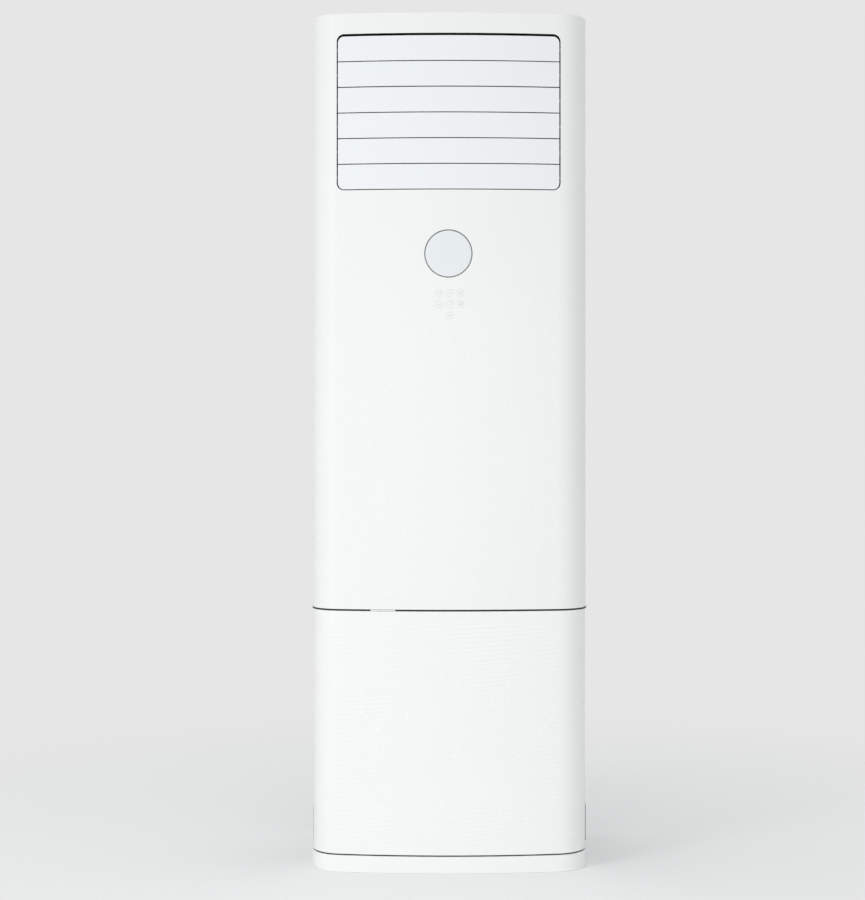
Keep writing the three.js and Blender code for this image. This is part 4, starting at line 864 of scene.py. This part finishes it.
def floor():
    turns = [2 * math.pi * i / FLOOR_SIDES for i in range(FLOOR_SIDES)]
    ring = [(FLOOR_REACH * math.cos(turn), FLOOR_REACH * math.sin(turn), -FLOOR_DROP) for turn in turns]
    ground = piece_of("floor", ring, [tuple(range(FLOOR_SIDES))])
    finish = Finish("floor", (FLOOR_GREY,) * 3, 0.9, specular=0.0)
    seen = finish.nodes.new("ShaderNodeLightPath").outputs["Is Camera Ray"]
    finish.colour = finish.mix(seen, (FLOOR_GREY,) * 3, (FLOOR_SEEN,) * 3)
    finish.tint(finish.noise(1.2), 0.006)
    finish.done()
    away = finish.nodes.new("ShaderNodeVectorMath")
    away.operation = "LENGTH"
    finish.links.new(finish.place, away.inputs[0])
    clear, blend = finish.nodes.new("ShaderNodeBsdfTransparent"), finish.nodes.new("ShaderNodeMixShader")
    finish.links.new(finish.ramp(away.outputs["Value"], 0.0, 1.0, *FADE), blend.inputs["Fac"])
    finish.links.new(finish.shader.outputs["BSDF"], blend.inputs[1])
    finish.links.new(clear.outputs["BSDF"], blend.inputs[2])
    result = next(n for n in finish.nodes if n.type == "OUTPUT_MATERIAL")
    finish.links.new(blend.outputs["Shader"], result.inputs["Surface"])
    ground.data.materials.append(finish.material)


def lamp(name, place, target, size, power, colour=(1.0, 1.0, 1.0)):
    """A soft box that leaves no bright rectangle in glossy faces."""
    data = bpy.data.lights.new(name, "AREA")
    data.shape = "RECTANGLE"
    data.size, data.size_y = size
    data.energy = power
    data.color = colour
    thing = bpy.data.objects.new(name, data)
    thing.location = place
    thing.rotation_euler = (Vector(target) - Vector(place)).to_track_quat("-Z", "Y").to_euler()
    thing.visible_camera = False
    thing.visible_glossy = False
    bpy.context.scene.collection.objects.link(thing)


BACKGROUND = 0.791  # as the camera and glossy faces see it
AMBIENT = 0.655
SIDE_FALL = 0.02  # the walls to the left and right are darker by this
SKY_RISE = 0.2  # and the ceiling is brighter than the floor
AMBIENT_TINT = (0.985, 1.0, 1.012)


def ambient_light(nodes, links):
    """The studio's walls and ceiling, by direction."""
    facing, split = nodes.new("ShaderNodeTexCoord"), nodes.new("ShaderNodeSeparateXYZ")
    links.new(facing.outputs["Generated"], split.inputs["Vector"])
    level = AMBIENT
    for axis, power, change in (("X", 2.0, -SIDE_FALL), ("Z", 1.0, SKY_RISE)):
        lean, add = nodes.new("ShaderNodeMath"), nodes.new("ShaderNodeMath")
        lean.operation, add.operation = "POWER", "MULTIPLY_ADD"
        links.new(split.outputs[axis], lean.inputs[0])
        lean.inputs[1].default_value = power
        links.new(lean.outputs[0], add.inputs[0])
        add.inputs[1].default_value = change
        if hasattr(level, "is_linked"):
            links.new(level, add.inputs[2])
        else:
            add.inputs[2].default_value = level
        level = add.outputs[0]
    tint = nodes.new("ShaderNodeVectorMath")
    tint.operation = "SCALE"
    tint.inputs[0].default_value = AMBIENT_TINT
    links.new(level, tint.inputs["Scale"])
    return tint.outputs["Vector"]


def studio():
    world = bpy.data.worlds.new("studio")
    world.use_nodes = True
    nodes, links = world.node_tree.nodes, world.node_tree.links
    shader = next(n for n in nodes if n.type == "BACKGROUND")
    path, mix = nodes.new("ShaderNodeLightPath"), nodes.new("ShaderNodeMix")
    mix.data_type = "RGBA"
    seen = path.outputs["Is Camera Ray"]
    for other in ("Is Glossy Ray", "Is Transmission Ray"):
        either = nodes.new("ShaderNodeMath")
        either.operation = "MAXIMUM"
        links.new(seen, either.inputs[0])
        links.new(path.outputs[other], either.inputs[1])
        seen = either.outputs[0]
    links.new(seen, mix.inputs["Factor"])
    links.new(ambient_light(nodes, links), mix.inputs["A"])
    mix.inputs["B"].default_value = (*(BACKGROUND,) * 3, 1.0)
    links.new(mix.outputs["Result"], shader.inputs["Color"])
    bpy.context.scene.world = world
    lamp("left_softbox", place=(-2.7, -2.8, 1.4), target=(0.0, 0.0, 1.0), size=(1.2, 2.8), power=40.0)
    lamp("front_light", place=(0.2, -3.4, 1.0), target=(0.0, 0.0, 0.9), size=(2.6, 1.0), power=26.0,
         colour=(1.0, 0.995, 0.975))


LENS = 74.2  # mm
SENSOR_WIDTH = 36.0  # mm
CAMERA_SHIFT = (-0.0692, -0.0444)
CAMERA_PLACE = (0.10, -4.195, 1.00)


def camera():
    data = bpy.data.cameras.new("camera")
    data.lens = LENS
    data.sensor_width = SENSOR_WIDTH
    data.shift_x, data.shift_y = CAMERA_SHIFT
    view = bpy.data.objects.new("camera", data)
    view.location = CAMERA_PLACE
    view.rotation_euler = (math.pi / 2, 0.0, 0.0)
    bpy.context.scene.collection.objects.link(view)
    bpy.context.scene.camera = view


floor()
studio()
camera()
bpy.context.scene.view_settings.view_transform = "Standard"
